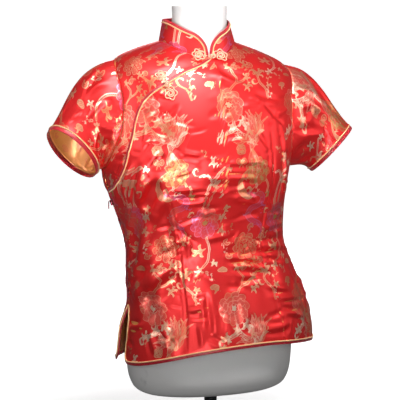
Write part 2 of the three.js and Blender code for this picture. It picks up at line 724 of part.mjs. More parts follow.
// A stack of rings, capped at both ends
function addRings(name, kind, rings, capLift = [0, 0]) {
  const points = [];
  const loops = rings.map((ring) => ring.map((p) => points.push(p) - 1));
  const faces = [];
  const sides = loops[0].length;
  for (let r = 0; r < loops.length - 1; r += 1) {
    for (let k = 0; k < sides; k += 1) {
      const n = (k + 1) % sides;
      faces.push([loops[r][k], loops[r][n], loops[r + 1][n]]);
      faces.push([loops[r][k], loops[r + 1][n], loops[r + 1][k]]);
    }
  }
  [0, loops.length - 1].forEach((r, end) => {
    const middle = rings[r].reduce((sum, p) => sum.add(p), vec(0, 0, 0)).divideScalar(sides);
    middle.z += capLift[end];
    const hub = points.push(middle) - 1;
    for (let k = 0; k < sides; k += 1) {
      const n = (k + 1) % sides;
      faces.push(end ? [loops[r][k], loops[r][n], hub] : [loops[r][n], loops[r][k], hub]);
    }
  });
  addBody(name, kind, points, faces);
}

// Frogs: a coil of cord that ends in petals, with a tail to the knot or round it

const COIL_PITCH = 2.95;
const PETALS = { count: 5, length: 3 };
function coilRadius(angle) {
  const petal = angle > 4 * Math.PI ? Math.sin((PETALS.count / 2) * angle) ** 2 : 0;
  return 1.6 + (COIL_PITCH * angle) / (2 * Math.PI) + PETALS.length * petal;
}

// Path of one half in its own plane: the knot is at 0, 0 and the coil's middle at reach, 0.
function coilPath(reach, tail) {
  const path = [];
  let angle = 0;
  while (angle < 6 * Math.PI) {
    const radius = coilRadius(angle);
    path.push([reach + radius * Math.cos(angle + Math.PI), radius * Math.sin(angle + Math.PI)]);
    angle += Math.min(0.75, 3.6 / radius);
  }
  const near = reach - coilRadius(6 * Math.PI);
  return [...path, ...tail.filter(([a]) => a < near)];
}
const KNOT_RADIUS = 3.2;
const LOOP_RADIUS = KNOT_RADIUS + CORD_RADIUS + 0.75;
const straightTail = [[LOOP_RADIUS + 2 * CORD_RADIUS + 0.5, 0]];
const loopTail = Array.from({ length: 9 }, (_, k) => {
  const a = (-40 + k * 35) * RAD;
  return [-LOOP_RADIUS * Math.cos(a + Math.PI), LOOP_RADIUS * Math.sin(a + Math.PI)];
});

function addCord(name, path, place) {
  const at = path.map(([a, b]) => place(a, b));
  const stations = at.map(({ p, normal }, i) => {
    const before = at[Math.max(0, i - 1)].p;
    const after = at[Math.min(at.length - 1, i + 1)].p;
    const along = after.clone().sub(before).normalize();
    const up = normal.clone().addScaledVector(along, -normal.dot(along)).normalize();
    return { at: p, normal: up, out: along.clone().cross(up), width: 1 };
  });
  const ring = [[0, 1], [1, 0], [0, -1], [-1, 0]];
  addStrip(name, 'cord', stations, ring.map(([m, n]) => [m * CORD_RADIUS, n * CORD_RADIUS]), false);
}

function addKnot(name, { p, normal }) {
  const up = normal.clone();
  const side = vec(0, 0, 1).cross(up).normalize();
  const fore = up.clone().cross(side);
  const rings = [];
  for (let r = 1; r < 6; r += 1) {
    const a = (r * Math.PI) / 6;
    rings.push(Array.from({ length: 10 }, (_, k) => {
      const b = (k * Math.PI) / 5;
      return p.clone().addScaledVector(up, -KNOT_RADIUS * Math.cos(a))
        .addScaledVector(side, KNOT_RADIUS * Math.sin(a) * Math.cos(b))
        .addScaledVector(fore, KNOT_RADIUS * Math.sin(a) * Math.sin(b));
    }));
  }
  addRings(name, 'cord', rings);
}

// The neck pair bridges from the collar down to the panels.
const NECK_FROG = { turn: 1, high: 13, low: 12, perTurn: 1.31, perTurnLow: 2.1 };
const NECK_REACH = { [-1]: 23, 1: 17.5 };
const NECK_LIFT = { [-1]: 1.5, 1: 2.3 };
function neckFrogPlace(side) {
  return (a, b) => {
    const turn = NECK_FROG.turn + (side * a) / NECK_FROG.perTurn;
    const upper = collarPoint(turn, NECK_FROG.high);
    const turnLow = NECK_FROG.turn + (side * a) / NECK_FROG.perTurnLow;
    const lower = clothPoint(NECK_ROW - NECK_FROG.low / 9, turnLow);
    const k = (NECK_FROG.high - b) / (NECK_FROG.high + NECK_FROG.low);
    const p = upper.clone().lerp(lower, k);
    const round = collarPoint(turn + 1, NECK_FROG.high).sub(collarPoint(turn - 1, NECK_FROG.high));
    const normal = round.cross(upper.clone().sub(lower)).normalize();
    return { p: p.addScaledVector(normal, NECK_LIFT[side]), normal };
  };
}

// The slanted pair crosses the opening: its axis is square to the piping.
const SLANT_FROG = { turn: -29.4, row: 9.54, axis: [-0.37, 0.93], knotLift: 6.9, knotPull: 1.2 };
const SLANT_REACH = { [-1]: 17.6, 1: 25 };
const CORD_LIFT = {
  [-1]: table('from lift', [[0, 5], [4, 5], [8, 2], [40, 1.7]]),
  1: table('from lift', [[0, 5], [4, 5], [8, 2.2], [12, -0.4], [50, -0.4]]),
};
function cordLift(side, a) {
  const { from, lift, count } = CORD_LIFT[side];
  let i = 0;
  while (i < count - 2 && a > from[i + 1]) i += 1;
  return mix(lift[i], lift[i + 1], smooth((a - from[i]) / (from[i + 1] - from[i])));
}
function slantFrogPlace(side) {
  const { turn, row, axis } = SLANT_FROG;
  const middle = clothPoint(row, turn);
  const perTurn = middle.distanceTo(clothPoint(row, turn + 1));
  const perRow = middle.distanceTo(clothPoint(row + 0.1, turn)) * 10;
  return (a, b) => {
    const across = side * (a * axis[0] - b * axis[1]);
    const up = side * (a * axis[1] + b * axis[0]);
    const at = { turn: turn + across / perTurn, row: row + up / perRow };
    const normal = ringNormal(TORSO, at.row, at.turn);
    return { p: clothPoint(at.row, at.turn).addScaledVector(normal, cordLift(side, a)), normal };
  };
}

addCord('frog_neck_right', coilPath(NECK_REACH[-1], straightTail), neckFrogPlace(-1));
addCord('frog_neck_left', coilPath(NECK_REACH[1], loopTail), neckFrogPlace(1));
addKnot('knot_neck', neckFrogPlace(1)(0, 0));
addCord('frog_slant_upper', coilPath(SLANT_REACH[1], loopTail), slantFrogPlace(1));
addCord('frog_slant_lower', coilPath(SLANT_REACH[-1], straightTail), slantFrogPlace(-1));
const slantMiddle = slantFrogPlace(1)(-SLANT_FROG.knotPull, 0);
slantMiddle.p.addScaledVector(slantMiddle.normal, SLANT_FROG.knotLift - CORD_LIFT[1].lift[0]);
addKnot('knot_slant', slantMiddle);

// Zip in the wearer's right side seam: a closed chain, its slider and the pull tab

const ZIP = { top: 5.44, foot: SLIT_TOP + 0.12, half: 2.3, thick: 1.1, lift: 1.7 };
const SLIDER = { half: 3, thick: 2.4, length: 9 };
const PULL = { half: 2.1, thick: 1.2, length: 15, clear: 0.9 };
const seamStation = (row, raise, width = 1) => {
  const normal = ringNormal(TORSO, row, -90);
  const at = clothPoint(row, -90).addScaledVector(normal, raise);
  const up = clothPoint(row + 0.05, -90).sub(clothPoint(row - 0.05, -90)).normalize();
  return { at, normal, out: up.cross(normal), width };
};
const bar = (half, thick) => [[-half, 0], [0.6 - half, thick], [half - 0.6, thick], [half, 0]];
addStrip('zip_chain', 'zip', Array.from({ length: 15 }, (_, k) => (
  seamStation(mix(ZIP.foot, ZIP.top, k / 14), ZIP.lift)
)), bar(ZIP.half, ZIP.thick), false);
const sliderLift = ZIP.lift + ZIP.thick + PROUD;
const sliderRows = [-0.5, 0.5].map((end) => ZIP.top - 0.1 + (end * SLIDER.length) / 60);
addStrip('zip_slider', 'zip', sliderRows.map((row) => seamStation(row, sliderLift)),
  bar(SLIDER.half, SLIDER.thick), false);

// The tab hangs straight down from its hinge, which lies along Y just outside the slider.
const hinge = seamStation(sliderRows[1], sliderLift + SLIDER.thick).at;
hinge.x -= PULL.clear;
hinge.z -= 1.5;
const pullRing = (z, half) => [[-1, -1], [1, -1], [1, 1], [-1, 1]].map(([x, y]) => (
  vec(hinge.x + (x * PULL.thick) / 2, hinge.y + y * half, hinge.z + z)
));
addRings('zip_pull', 'zip', [
  pullRing(0.5, PULL.half - 0.8),
  pullRing(-2, PULL.half - 0.5),
  pullRing(-PULL.length + 1.5, PULL.half),
  pullRing(-PULL.length, PULL.half - 0.8),
]);

// The dress form and its stand

const FORM_ROWS = [
  0, 1, 2, 3, 4, 5, 6, 7, 8, 9, 10, 11, 12, 13, 13.5, 14, 14.5, 15, 15.5, 16, 16.5, 17, 18, 19,
];
const FORM_SIDES = 32;
addRings('dress_form', 'form', FORM_ROWS.map((row) => (
  Array.from({ length: FORM_SIDES }, (_, k) => ringPoint(FORM, row, (k * 360) / FORM_SIDES))
)), [0, -1.5]);

const disc = (radius, z, sides = 32) => Array.from({ length: sides }, (_, k) => {
  const a = (2 * Math.PI * k) / sides;
  return vec(radius * Math.cos(a), radius * Math.sin(a), z);
});
const formFoot = FORM.side[0];
addRings('stand_pole', 'black', [
  disc(POLE_RADIUS, BASE_HEIGHT + PROUD),
  disc(POLE_RADIUS, formFoot - PROUD),
]);
addRings('stand_base', 'black', [
  disc(BASE_RADIUS, 0, 48),
  disc(BASE_RADIUS, BASE_HEIGHT - 2, 48),
  disc(BASE_RADIUS - 2, BASE_HEIGHT, 48),
]);

export default part;
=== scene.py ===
"""Looks of a short-sleeved cheongsam top of red satin brocade, worn by a limbless dress form.

Lengths are worked out in millimetres and turned to metres when a mesh is made. +Z is up, the
garment faces -Y, and +X is the wearer's left. Tables and surface formulas are the same as in
the part's CAD source, on finer grids, with the small creases, the weave and the sewing added.
"""
import math

import bpy
import numpy as np
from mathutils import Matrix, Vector


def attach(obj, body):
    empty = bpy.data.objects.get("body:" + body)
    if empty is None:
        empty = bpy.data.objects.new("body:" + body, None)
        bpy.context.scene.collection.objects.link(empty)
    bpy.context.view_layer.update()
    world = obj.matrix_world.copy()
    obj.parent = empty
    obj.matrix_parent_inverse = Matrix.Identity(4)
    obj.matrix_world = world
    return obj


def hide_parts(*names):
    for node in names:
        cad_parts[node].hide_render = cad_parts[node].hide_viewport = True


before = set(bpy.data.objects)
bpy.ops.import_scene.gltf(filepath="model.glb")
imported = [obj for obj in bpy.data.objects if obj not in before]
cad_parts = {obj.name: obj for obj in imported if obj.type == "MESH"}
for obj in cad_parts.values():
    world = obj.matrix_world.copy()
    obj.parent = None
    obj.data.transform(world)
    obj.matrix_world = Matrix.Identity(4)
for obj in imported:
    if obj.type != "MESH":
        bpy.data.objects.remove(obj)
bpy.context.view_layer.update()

# Sizes, as in the CAD source
WALL = 1.4
CLOTH = 1.0             # thickness of the shown cloth
BIND_WIDTH, CUFF_BIND = 6.8, 9.5
PROUD = 0.3
SLIT_TOP = 2.1
OPENING_RECESS, OVERLAP = 3.1, 22
COLLAR_HEIGHT, COLLAR_CORNER, COLLAR_END = 43, 29, 6
CORD_RADIUS, KNOT_RADIUS = 1.25, 3.2
POLE_RADIUS, BASE_RADIUS, BASE_HEIGHT = 12.5, 140, 10
NECK_ROW, ARM_PIT, ARM_TIP = 13, 6.45, 10.8
ARM_CUT = {"front": 25, "back": 21}
TURN_MM = 2.9           # millimetres of cloth per degree of turn, for the creases' chart

# Values of the looks alone
RELIEF, SLEEVE_RELIEF = 1.75, 1.5       # gain on the creases' charted depths
ROOM = {"out": 11, "waist": 7.2, "shoulder": 3.4, "neck": 0.25}     # farthest that creases reach
DART_DIP, DART_HALF = 0.55, 1.9         # a dart's sewn line: depth and half width
DART_SWELL, DART_BESIDE, DART_SOFT = 0.5, 5, 4      # the cloth's rise on both sides of it
SEAM_DIP, SEAM_HALF, SEAM_RIPPLE = 0.9, 1.9, 0.7    # a sewn border: its sunk line and puckers
ARM_ROUND, ARM_LONG = 400, 120          # sleeve round the arm and along it, for its chart
VIEW_TURN, VIEW_RISE = -19, 8           # the photo's camera: degrees about the part and upwards
VIEW_DISTANCE, VIEW_TARGET = 3000, 524  # how far off it is, and the height that it looks at
PICTURE, PIXEL = 400, 1.95              # the photo's side in pixels, and mm of one at the target
VIEW_SHIFT = 10.5                       # pixels that the target lies right of the photo's middle
rng = np.random.default_rng(7)


def rows(names, text):
    """Columns of a table written as rows of numbers, ended by | or a new line."""
    lines = [line for line in text.replace("|", "\n").splitlines() if line.strip()]
    data = np.array([[float(x) for x in line.split()] for line in lines])
    return dict(zip(names.split(), data.T))


RING = "side front back lean x y left right fore aft power"
TORSO = rows(RING, """
226 257 222 13 8 0 200 187 132 128 2.2
265 281 262 11 8 0 197 182 128 126 2.2
329 334 327 6 5 4 187 171 120 118 2.2
395 395 395 2 -3 8 170 164 110 108 2.2
445 445 445 0 -7 12 158 161 108 102 2.2
505 505 505 0 -8 18 158 176 122 104 2.3
565 565 565 -3 -8 24 164 198 144 108 2.35
615 618 612 -4 -8 28 172 200 150 110 2.4
670 673 667 -4 -8 32 179 192 138 108 2.4
725 728 722 -5 -8 38 186 188 120 102 2.3
768 768 768 -7 -8 44 188 184 104 94 2.2
795 787 799 -7 -8 48 169 164 92 86 2.1
815 798 820 -4 -10 50 125 122 82 74 2.05
831 802 835 -1 -11 52 75 75 76 62 2.0""")
FORM = rows(RING, """
153 153 153 0 0 0 122 126 74 74 2.2
155 155 155 0 0 0 138 144 88 88 2.2
167 167 167 0 0 0 152 158 102 102 2.2
198 198 198 0 0 0 161 167 111 110 2.2
260 260 260 0 0 0 163 168 112 114 2.15
330 330 330 0 0 4 152 152 104 106 2.1
395 395 395 0 -4 8 130 130 94 92 2.05
445 445 445 0 -7 12 119 119 90 84 2.0
505 505 505 0 -8 18 128 128 104 88 2.05
565 565 565 0 -8 24 142 142 132 94 2.2
615 618 612 0 -8 28 152 152 138 98 2.3
670 673 667 -1 -8 32 164 164 126 98 2.3
725 728 722 -3 -8 38 172 172 112 94 2.3
764 763 765 -7 -8 44 172 170 98 87 2.2
792.4 781.6 794.6 -7 -8 48 160 156 86 79 2.1
813.3 793.6 816.6 -4 -10 50 122 120 76 68 2.05
829.4 798 830.6 -1 -11 52 72 72 67 56 2.0
846 838 848 0 -8 51 57 57 55 51 2.0
872 870 873 0 -6 50 54 54 52 48 2.0
899 899 899 0 -6 50 54 54 52 48 2.0""")
# Broad folds, which the CAD solids have too
FOLDS = rows("turn0 z0 turn1 z1 wide depth", """
-62 520 -40 262 22 4 | -38 600 -30 262 12 -3 | -78 470 -55 300 18 -3.5
-20 560 -12 262 26 2.5 | 6 540 18 262 22 -2.5 | 40 430 34 262 24 3.5
66 420 58 262 16 -3.5 | 82 380 84 262 18 3 | -50 640 -20 600 18 -3
62 560 30 500 16 3 | 70 500 36 470 12 -2.5 | 150 470 160 250 30 3.5
-150 470 -160 250 30 3.5 | 180 520 180 250 28 -3""")
# Creases of the front, read in the photo: both ends in its pixels from the left and the
# top, then in mm the half width, the depth outwards and the sideways bow
SEEN_CREASES = rows("left0 top0 left1 top1 wide depth bow", """
168 193 150 222 12 5.5 0 | 158 210 132 285 14 5 3 | 159 179 142.8 212.7 11 -7.5 -4
143 208 130 250 12 -5 0 | 162 150 150 172 8 -3 -3 | 150 155 136 205 9 3 4 | 141 165 132 205 5 -2 0
134 160 124 203 5 2 3 | 128 168 118 200 5 -1.8 0 | 200 178 262 180 5 2 -3 | 204 184 246 187 5 -3 2
206 171 250 174 4 -1.8 3 | 215 165 262 163 4.5 1.6 -2 | 176 199 206 196 5 -2.4 3
172 192 200 190 4 1.6 -2 | 218 193 262 195 5 -2.2 -3 | 228 199 268 203 5 1.6 3
208 158 236 160 4 -1.6 2 | 182 157 204 162 5 -2.4 -2 | 180 150 206 156 4.5 1.5 2
196 206 222 209 5 -1.4 2 | 236 216 262 214 5 -1.5 -2 | 205 240 232 236 6 1.6 -2
271 128 274 190 5 -2.5 2 | 277 112 281 205 5 2.6 -2 | 283 140 283 215 4 -2.2 2
268 185 277 235 5 -2.2 -3 | 262 212 284 206 4.5 -1.8 2 | 258 228 284 222 5 1.8 -2
248 240 283 236 5 -2 2 | 254 248 286 246 5 1.8 -2 | 222 252 240 254 3.8 -2.4 1
238 257 252 253 3.8 -2.2 -1 | 250 251 278 250 4.2 -2.4 2 | 224 263 246 261 3.8 -2.2 2
244 262 268 267 4.2 -2.8 -2 | 228 270 262 272 4.5 -2.2 2 | 262 258 284 262 4 -2 -1
224 257 262 259 4 1.8 2 | 236 266 274 270 4.5 2 -2 | 236 282 262 276 5.5 -3 2
222 290 248 286 6 -2.4 -2 | 262 283 290 290 5.5 2.2 2 | 272 300 300 297 4.5 2.2 -2
276 306 303 309 4.5 -2.4 2 | 284 313 306 316 4.5 1.8 1 | 262 330 290 322 6 2.4 2
266 318 286 308 5 -1.6 1 | 128.6 321.5 141 322 4.2 -2.6 1 | 128 328 145 324 4 2.2 1
126.5 338 134 346 5 -1.6 0 | 186 272 138 305 12 -5.6 -3 | 180 258 131 302 12 5.4 4
176 290 150 322 8 -2 2 | 187 312 206 306 4.5 2.2 1 | 188 319 212 318 4.5 -1.8 -1
190 300 207 295 4 -1.6 1 | 206 288 211 345 5.5 -2.6 2 | 215 300 222 340 5 -1.8 -2
199 322 203 350 4.5 1.8 0 | 210 334 226 345 5.5 -3 2 | 236 300 243 338 7 -2.4 3
252 312 248 338 5 -1.8 0 | 170 322 172 352 6 -1.6 0 | 150 330 156 356 7 1.8 0
214 66 258 84 7 -2.2 4 | 208 72 242 93 7 1.7 -3 | 250 92 280 100 6 -1.6 2
262 100 286 128 6 -2.2 3 | 292 95 268 99 4.5 -1.6 -1 | 290 108 272 116 4.5 1.6 1
206 115 232 112 4.5 -1.6 1 | 214 139 246 136 5 -1.4 -2 | 150 120 176 113 5.5 -1.7 2
142 120 164 104 5.5 1.3 -2 | 152 134 168 141 5 1.4 1 | 240 108 262 104 5 1.5 -1
256 130 274 152 5.5 -1.8 2 | 176 226 198 244 6 -1.6 3 | 190 232 186 262 6 1.6 0
170 232 178 262 7 -1.8 2 | 128 262 140 236 6 -1.8 0 | 130 288 146 262 6 -1.6 2
160 252 184 240 6 1.6 -2""")
# Creases that the photo hides, made up in the same manner: ends by turn and height, then sizes
HIDDEN_CREASES = rows("turn0 z0 turn1 z1 wide depth bow", """
110 640 138 560 8 -2.4 3 | 104 610 128 520 7 2 -3 | -112 640 -140 556 8 -2.4 -3
-106 606 -130 510 7 2 3 | 140 520 172 508 6 -2.4 3 | 150 500 186 490 5.5 2 -3
158 478 204 472 6 -2.6 3 | 148 458 190 448 5.5 2 -2 | 196 520 224 506 6 -2.2 -3
190 498 218 488 5 1.8 2 | 176 440 212 432 6 -2.2 3 | 128 470 150 440 7 -2 2
232 474 210 440 7 -2 -2 | 118 430 136 340 9 2.6 2 | -118 430 -138 338 9 2.6 -2
140 400 150 300 8 -2 2 | 222 404 214 296 8 -2 -2 | 168 380 172 262 9 1.8 0
188 372 192 258 8 -1.6 0 | 108 330 130 318 5 -2 1 | -108 326 -128 312 5 -2 -1
150 700 176 640 10 -1.8 4 | 210 700 186 640 10 -1.8 -4 | 130 720 148 700 6 1.6 2
232 716 214 694 6 1.6 -2 | 96 560 118 500 7 -2 2 | -96 566 -116 500 7 -2 -2
160 770 200 770 7 -1.4 5 | 120 690 128 620 6 -1.8 0 | -120 690 -128 620 6 -1.8 0
76 330 90 290 6 -1.8 0 | 72 560 86 500 6 1.6 0 | 84 620 74 560 5 -1.6 0""")
# Sewn darts, each along three points of turn and height
DARTS = [
    [(-33, 576), (-29, 480), (-29.5, 236)], [(33, 570), (29, 480), (29, 236)],
    [(148, 560), (152, 440), (153, 320)], [(-148, 560), (-152, 440), (-153, 320)],
]
OPENING = rows("turn row", """
3 13 | 0 12.1 | -4.5 11.4 | -9.4 10.82 | -20.4 9.99 | -32 9.44 | -41.4 9.06 | -48.2 8.66
-52.6 8.2 | -54.4 7.77 | -57.4 7.2 | -62 6.55 | -72.4 5.93 | -90 5.62""")
# Creases of the sleeves on their own chart: turn round the arm and share from armhole to cuff
SLEEVE_CREASES = {
    -1: rows("a0 w0 a1 w1 wide depth bow", """
0.12 0.10 0.22 0.75 7 -3.2 5 | 0.20 0.05 0.30 0.60 6 2.4 -4 | 0.30 0.08 0.33 0.80 8 -3 4
0.38 0.05 0.42 0.65 6 2 3 | 0.45 0.10 0.40 0.70 6 -2 -3 | 0.05 0.30 0.16 0.95 6 2.4 -3
0.27 0.55 0.20 0.95 5 -1.8 2 | 0.52 0.06 0.56 0.50 6 -2 2 | 0.60 0.10 0.66 0.70 7 2 -2
0.70 0.08 0.76 0.70 7 -2.4 3 | 0.80 0.10 0.86 0.75 7 2.2 -3 | 0.90 0.15 0.95 0.80 7 -2.6 3
0.36 0.60 0.44 0.92 5 -1.6 1 | 0.48 0.62 0.54 0.94 5 1.5 1"""),
    1: rows("a0 w0 a1 w1 wide depth bow", """
0.10 0.08 0.18 0.70 7 -3 5 | 0.17 0.06 0.27 0.75 6 2.4 -3 | 0.26 0.05 0.34 0.85 7 -2.6 4
0.36 0.05 0.38 0.55 6 2 3 | 0.44 0.08 0.42 0.80 7 -2.2 -3 | 0.04 0.35 0.13 0.95 6 2.2 3
0.50 0.06 0.52 0.55 6 1.8 2 | 0.58 0.10 0.62 0.70 7 -2 2 | 0.68 0.08 0.74 0.70 7 2.2 3
0.80 0.10 0.84 0.75 7 -2.4 -3 | 0.90 0.15 0.94 0.80 7 2.4 3 | 0.30 0.60 0.26 0.94 5 -1.6 1
0.22 0.30 0.34 0.45 5 1.6 2 | 0.40 0.62 0.47 0.93 5 -1.5 1"""),
}
SLEEVES = {
    -1: dict(cuff=(-270, 30, 621), tall=66, deep=50, aim=(-0.66, -0.36, -0.66), puff=1.5, under=0.9),
    1: dict(cuff=(271, 34, 610), tall=60, deep=53, aim=(0.69, -0.25, -0.68), puff=1.3, under=0.9),
}
# Where the pieces lie on the brocade, in mm, so that the figures fall near their places
LAID_AT = {"underlap": (37.0, 22.0), "back": (60.0, 140.0), "collar": (20, 130), -1: (30, 0), 1: (96, 210)}


# Surfaces
def mix(a, b, k):
    """Straight mix: a where k is 0 and b where it is 1."""
    return a + (b - a) * k


def smooth(v):
    """Eased step 3 c^2 - 2 c^3, where c is v held between 0 and 1."""
    c = np.clip(v, 0, 1)
    return c * c * (3 - 2 * c)


def unit(v):
    """Vectors divided by their own lengths."""
    return v / np.maximum(np.linalg.norm(v, axis=-1, keepdims=True), 1e-9)


def spline(values, at):
    """Catmull-Rom curve through equally spaced values."""
    v = np.asarray(values, float)
    last = len(v) - 1
    t = np.clip(at, 0, last)
    i = np.minimum(last - 1, np.floor(t).astype(int))
    f = t - i
    a, b = v[i], v[i + 1]
    slope1 = np.where(i == 0, b - a, (b - v[np.maximum(0, i - 1)]) / 2)
    slope2 = np.where(i == last - 1, b - a, (v[np.minimum(last, i + 2)] - a) / 2)
    h1, h2 = 2 * f**3 - 3 * f**2 + 1, f**3 - 2 * f**2 + f
    h3, h4 = -2 * f**3 + 3 * f**2, f**3 - f**2
    return h1 * a + h2 * slope1 + h3 * b + h4 * slope2


def reach_along(points):
    """Length from the first point to each point of a line."""
    steps = np.linalg.norm(np.diff(points, axis=0), axis=-1)
    return np.concatenate([[0], np.cumsum(steps)])


def curve(points, count):
    """count points evenly spaced by parameter on the Catmull-Rom curve through points."""
    p = np.asarray(points, float)
    at = np.linspace(0, len(p) - 1, count)
    return np.stack([spline(p[:, k], at) for k in range(p.shape[1])], -1)


def ring_point(tab, row, turn):
    """A superellipse ring: across = |sin|^(2/power), along = |cos|^(2/power) of the turn."""
    row, turn = np.broadcast_arrays(np.asarray(row, float), np.asarray(turn, float))
    at = {name: spline(tab[name], row) for name in tab}
    s, c = np.sin(np.radians(turn)), np.cos(np.radians(turn))
    e = 2 / at["power"]
    across, along = np.sign(s) * np.abs(s) ** e, np.sign(c) * np.abs(c) ** e
    level = np.where(c > 0, at["front"], at["back"])
    return np.stack([
        at["x"] + np.where(s > 0, at["left"], at["right"]) * across,
        at["y"] - np.where(c > 0, at["fore"], at["aft"]) * along,
        at["side"] + (level - at["side"]) * c * c + at["lean"] * s,
    ], -1)


def in_photo(p):
    """Where points show in the photo, in pixels from its left and its top."""
    turn, rise = np.radians(VIEW_TURN), np.radians(VIEW_RISE)
    back = np.array([np.sin(turn) * np.cos(rise), -np.cos(turn) * np.cos(rise), np.sin(rise)])
    right = np.array([np.cos(turn), np.sin(turn), 0.0])
    off = p - (np.array([0, 0, VIEW_TARGET]) + back * VIEW_DISTANCE)
    pixels = VIEW_DISTANCE / PIXEL / -(off @ back)
    middle = PICTURE / 2
    return middle + VIEW_SHIFT + off @ right * pixels, middle - off @ np.cross(back, right) * pixels


def on_cloth(seen):
    """Creases read in the photo, as rows of turns, heights and sizes. Each end goes to the point
    of the torso's ring that shows nearest to it, in whole degrees and millimetres."""
    row, turn = np.meshgrid(np.linspace(0, NECK_ROW, 1301), np.linspace(-100, 88, 941), indexing="ij")
    ring = ring_point(TORSO, row, turn)
    left, top = in_photo(ring)

    def place(x, y):
        nearest = np.argmin((left - x) ** 2 + (top - y) ** 2)
        return np.round(turn.flat[nearest]), np.round(ring[..., 2].flat[nearest])

    return [(*place(x0, y0), *place(x1, y1), *sizes) for x0, y0, x1, y1, *sizes in zip(*seen.values())]


CREASES = on_cloth(SEEN_CREASES) + list(zip(*HIDDEN_CREASES.values()))


def ring_normal(tab, row, turn):
    """The ring's outward normal: a step round it crossed with a step up."""
    up = ring_point(tab, row + 0.02, turn) - ring_point(tab, row - 0.02, turn)
    around = ring_point(tab, row, turn + 0.5) - ring_point(tab, row, turn - 0.5)
    return unit(np.cross(around, up))


def fold_lift(turn, z):
    """The broad folds: bells across straight lines. Those that end low run on over the hem."""
    lift = np.zeros(np.broadcast(turn, z).shape)
    for t0, z0, t1, z1, wide, depth in zip(*FOLDS.values()):
        near = turn - 360 * np.round((turn - t0) / 360)
        ax, bx, px = t0 * TURN_MM, t1 * TURN_MM, near * TURN_MM
        along = ((px - ax) * (bx - ax) + (z - z0) * (z1 - z0)) / ((bx - ax) ** 2 + (z1 - z0) ** 2)
        k = np.clip(along, 0, 1)
        gap = np.hypot(px - mix(ax, bx, k), z - mix(z0, z1, k))
        runs_out = z1 < 270
        fade = smooth(k / 0.3) * (1 if runs_out else smooth((1 - k) / 0.3))
        lift += depth * np.exp(-((gap / wide) ** 2)) * fade
    return lift


def crease(px, py, x0, y0, x1, y1, wide, depth, bow):
    """One soft crease: a bell across the bowed line between its ends, with a shallow opposite
    one beside it, fading towards both ends."""
    length2 = (x1 - x0) ** 2 + (y1 - y0) ** 2
    k = ((px - x0) * (x1 - x0) + (py - y0) * (y1 - y0)) / length2
    side = ((px - x0) * (y1 - y0) - (py - y0) * (x1 - x0)) / math.sqrt(length2)
    side = (side - bow * 4 * k * (1 - k)) / wide
    fade = smooth(k / 0.35) * smooth((1 - k) / 0.35)
    return depth * fade * (np.exp(-side**2) - 0.45 * np.exp(-((side - 1.6) ** 2)))


def crinkles(count):
    """Short seeded creases between the others, most of them nearly level."""
    t, z = rng.uniform(-180, 180, count), rng.uniform(275, 740, count)
    half = rng.uniform(9, 26, count)
    level = rng.random(count) < 0.75
    lean = np.radians(np.where(level, rng.normal(0, 22, count), rng.normal(70, 18, count)))
    dx, dz = half * np.cos(lean) / TURN_MM, half * np.sin(lean)
    depth = rng.uniform(0.35, 0.95, count) * rng.choice([-1, 1], count)
    return np.stack([t - dx, z - dz, t + dx, z + dz, rng.uniform(2.6, 4.6, count), depth,
                     rng.uniform(-2, 2, count)], -1)


CRINKLES = crinkles(430)


def small_creases(turn, z):
    """Sum of the seeded creases, each worked out only near itself."""
    lift = np.zeros(turn.size)
    t, h = turn.ravel(), z.ravel()
    for t0, z0, t1, z1, wide, depth, bow in CRINKLES:
        off = t - (t0 + t1) / 2
        off = off - 360 * np.round(off / 360)
        near = np.nonzero((np.abs(off) < 16) & (np.abs(h - (z0 + z1) / 2) < 44))[0]
        half = (t1 - t0) / 2
        lift[near] += crease(off[near] * TURN_MM, h[near], -half * TURN_MM, z0, half * TURN_MM, z1,
                             wide, depth, bow)
    return lift.reshape(turn.shape)


def body_creases(turn, z):
    """Sum of all creases and darts. A dart is a narrow bell sunk along its line, between two
    wider raised ones."""
    turn, z = np.broadcast_arrays(turn, z)
    lift = small_creases(turn, z)
    for t0, z0, t1, z1, wide, depth, bow in CREASES:
        near = turn - 360 * np.round((turn - (t0 + t1) / 2) / 360)
        lift += crease(near * TURN_MM, z, t0 * TURN_MM, z0, t1 * TURN_MM, z1, wide, depth, bow)
    for points in DARTS:
        line = curve(points, 25)
        x, y = line[:, 0] * TURN_MM, line[:, 1]
        px = (turn - 360 * np.round((turn - points[1][0]) / 360)) * TURN_MM
        at = np.interp(z, y[::-1], x[::-1])
        inside = smooth((y[0] - z) / 25) * smooth((z - y[-1] + 30) / 30)
        lift -= DART_DIP * inside * np.exp(-(((px - at) / DART_HALF) ** 2))
        lift += DART_SWELL * inside * np.exp(-(((np.abs(px - at) - DART_BESIDE) / DART_SOFT) ** 2))
    return lift


def cloth_point(row, turn, fine=True):
    """The worn cloth: the torso's ring moved out along its normal by the folds and creases.
    The back flares a little at the slits."""
    flat = ring_point(TORSO, row, turn)
    wrapped = np.where(turn > 180, turn - 360, turn)
    opened = smooth((SLIT_TOP + 0.05 - row) / 0.8)
    near_side = np.exp(-(((np.abs(wrapped) - 92) / 26) ** 2))
    flare = np.where(np.abs(wrapped) > 90, opened * near_side * np.where(wrapped < 0, 12, 5), 0)
    lift = fold_lift(wrapped, flat[..., 2]) + flare
    if fine:
        high = smooth((row - 10.2) / 1.2)
        small = body_creases(wrapped, flat[..., 2]) * RELIEF
        hollow = mix(ROOM["waist"], ROOM["shoulder"], smooth((row - 8) / 2))
        room = mix(np.where(small < 0, hollow, ROOM["out"]), ROOM["neck"], high)
        lift = lift + room * np.tanh(small / room)
    return flat + ring_normal(TORSO, row, turn) * lift[..., None]


def slit_inset(row):
    """Room left for the binding beside a slit, in full a little below its top."""
    return (BIND_WIDTH + PROUD + 0.5) * np.clip((SLIT_TOP - row) / 0.3, 0, 1)


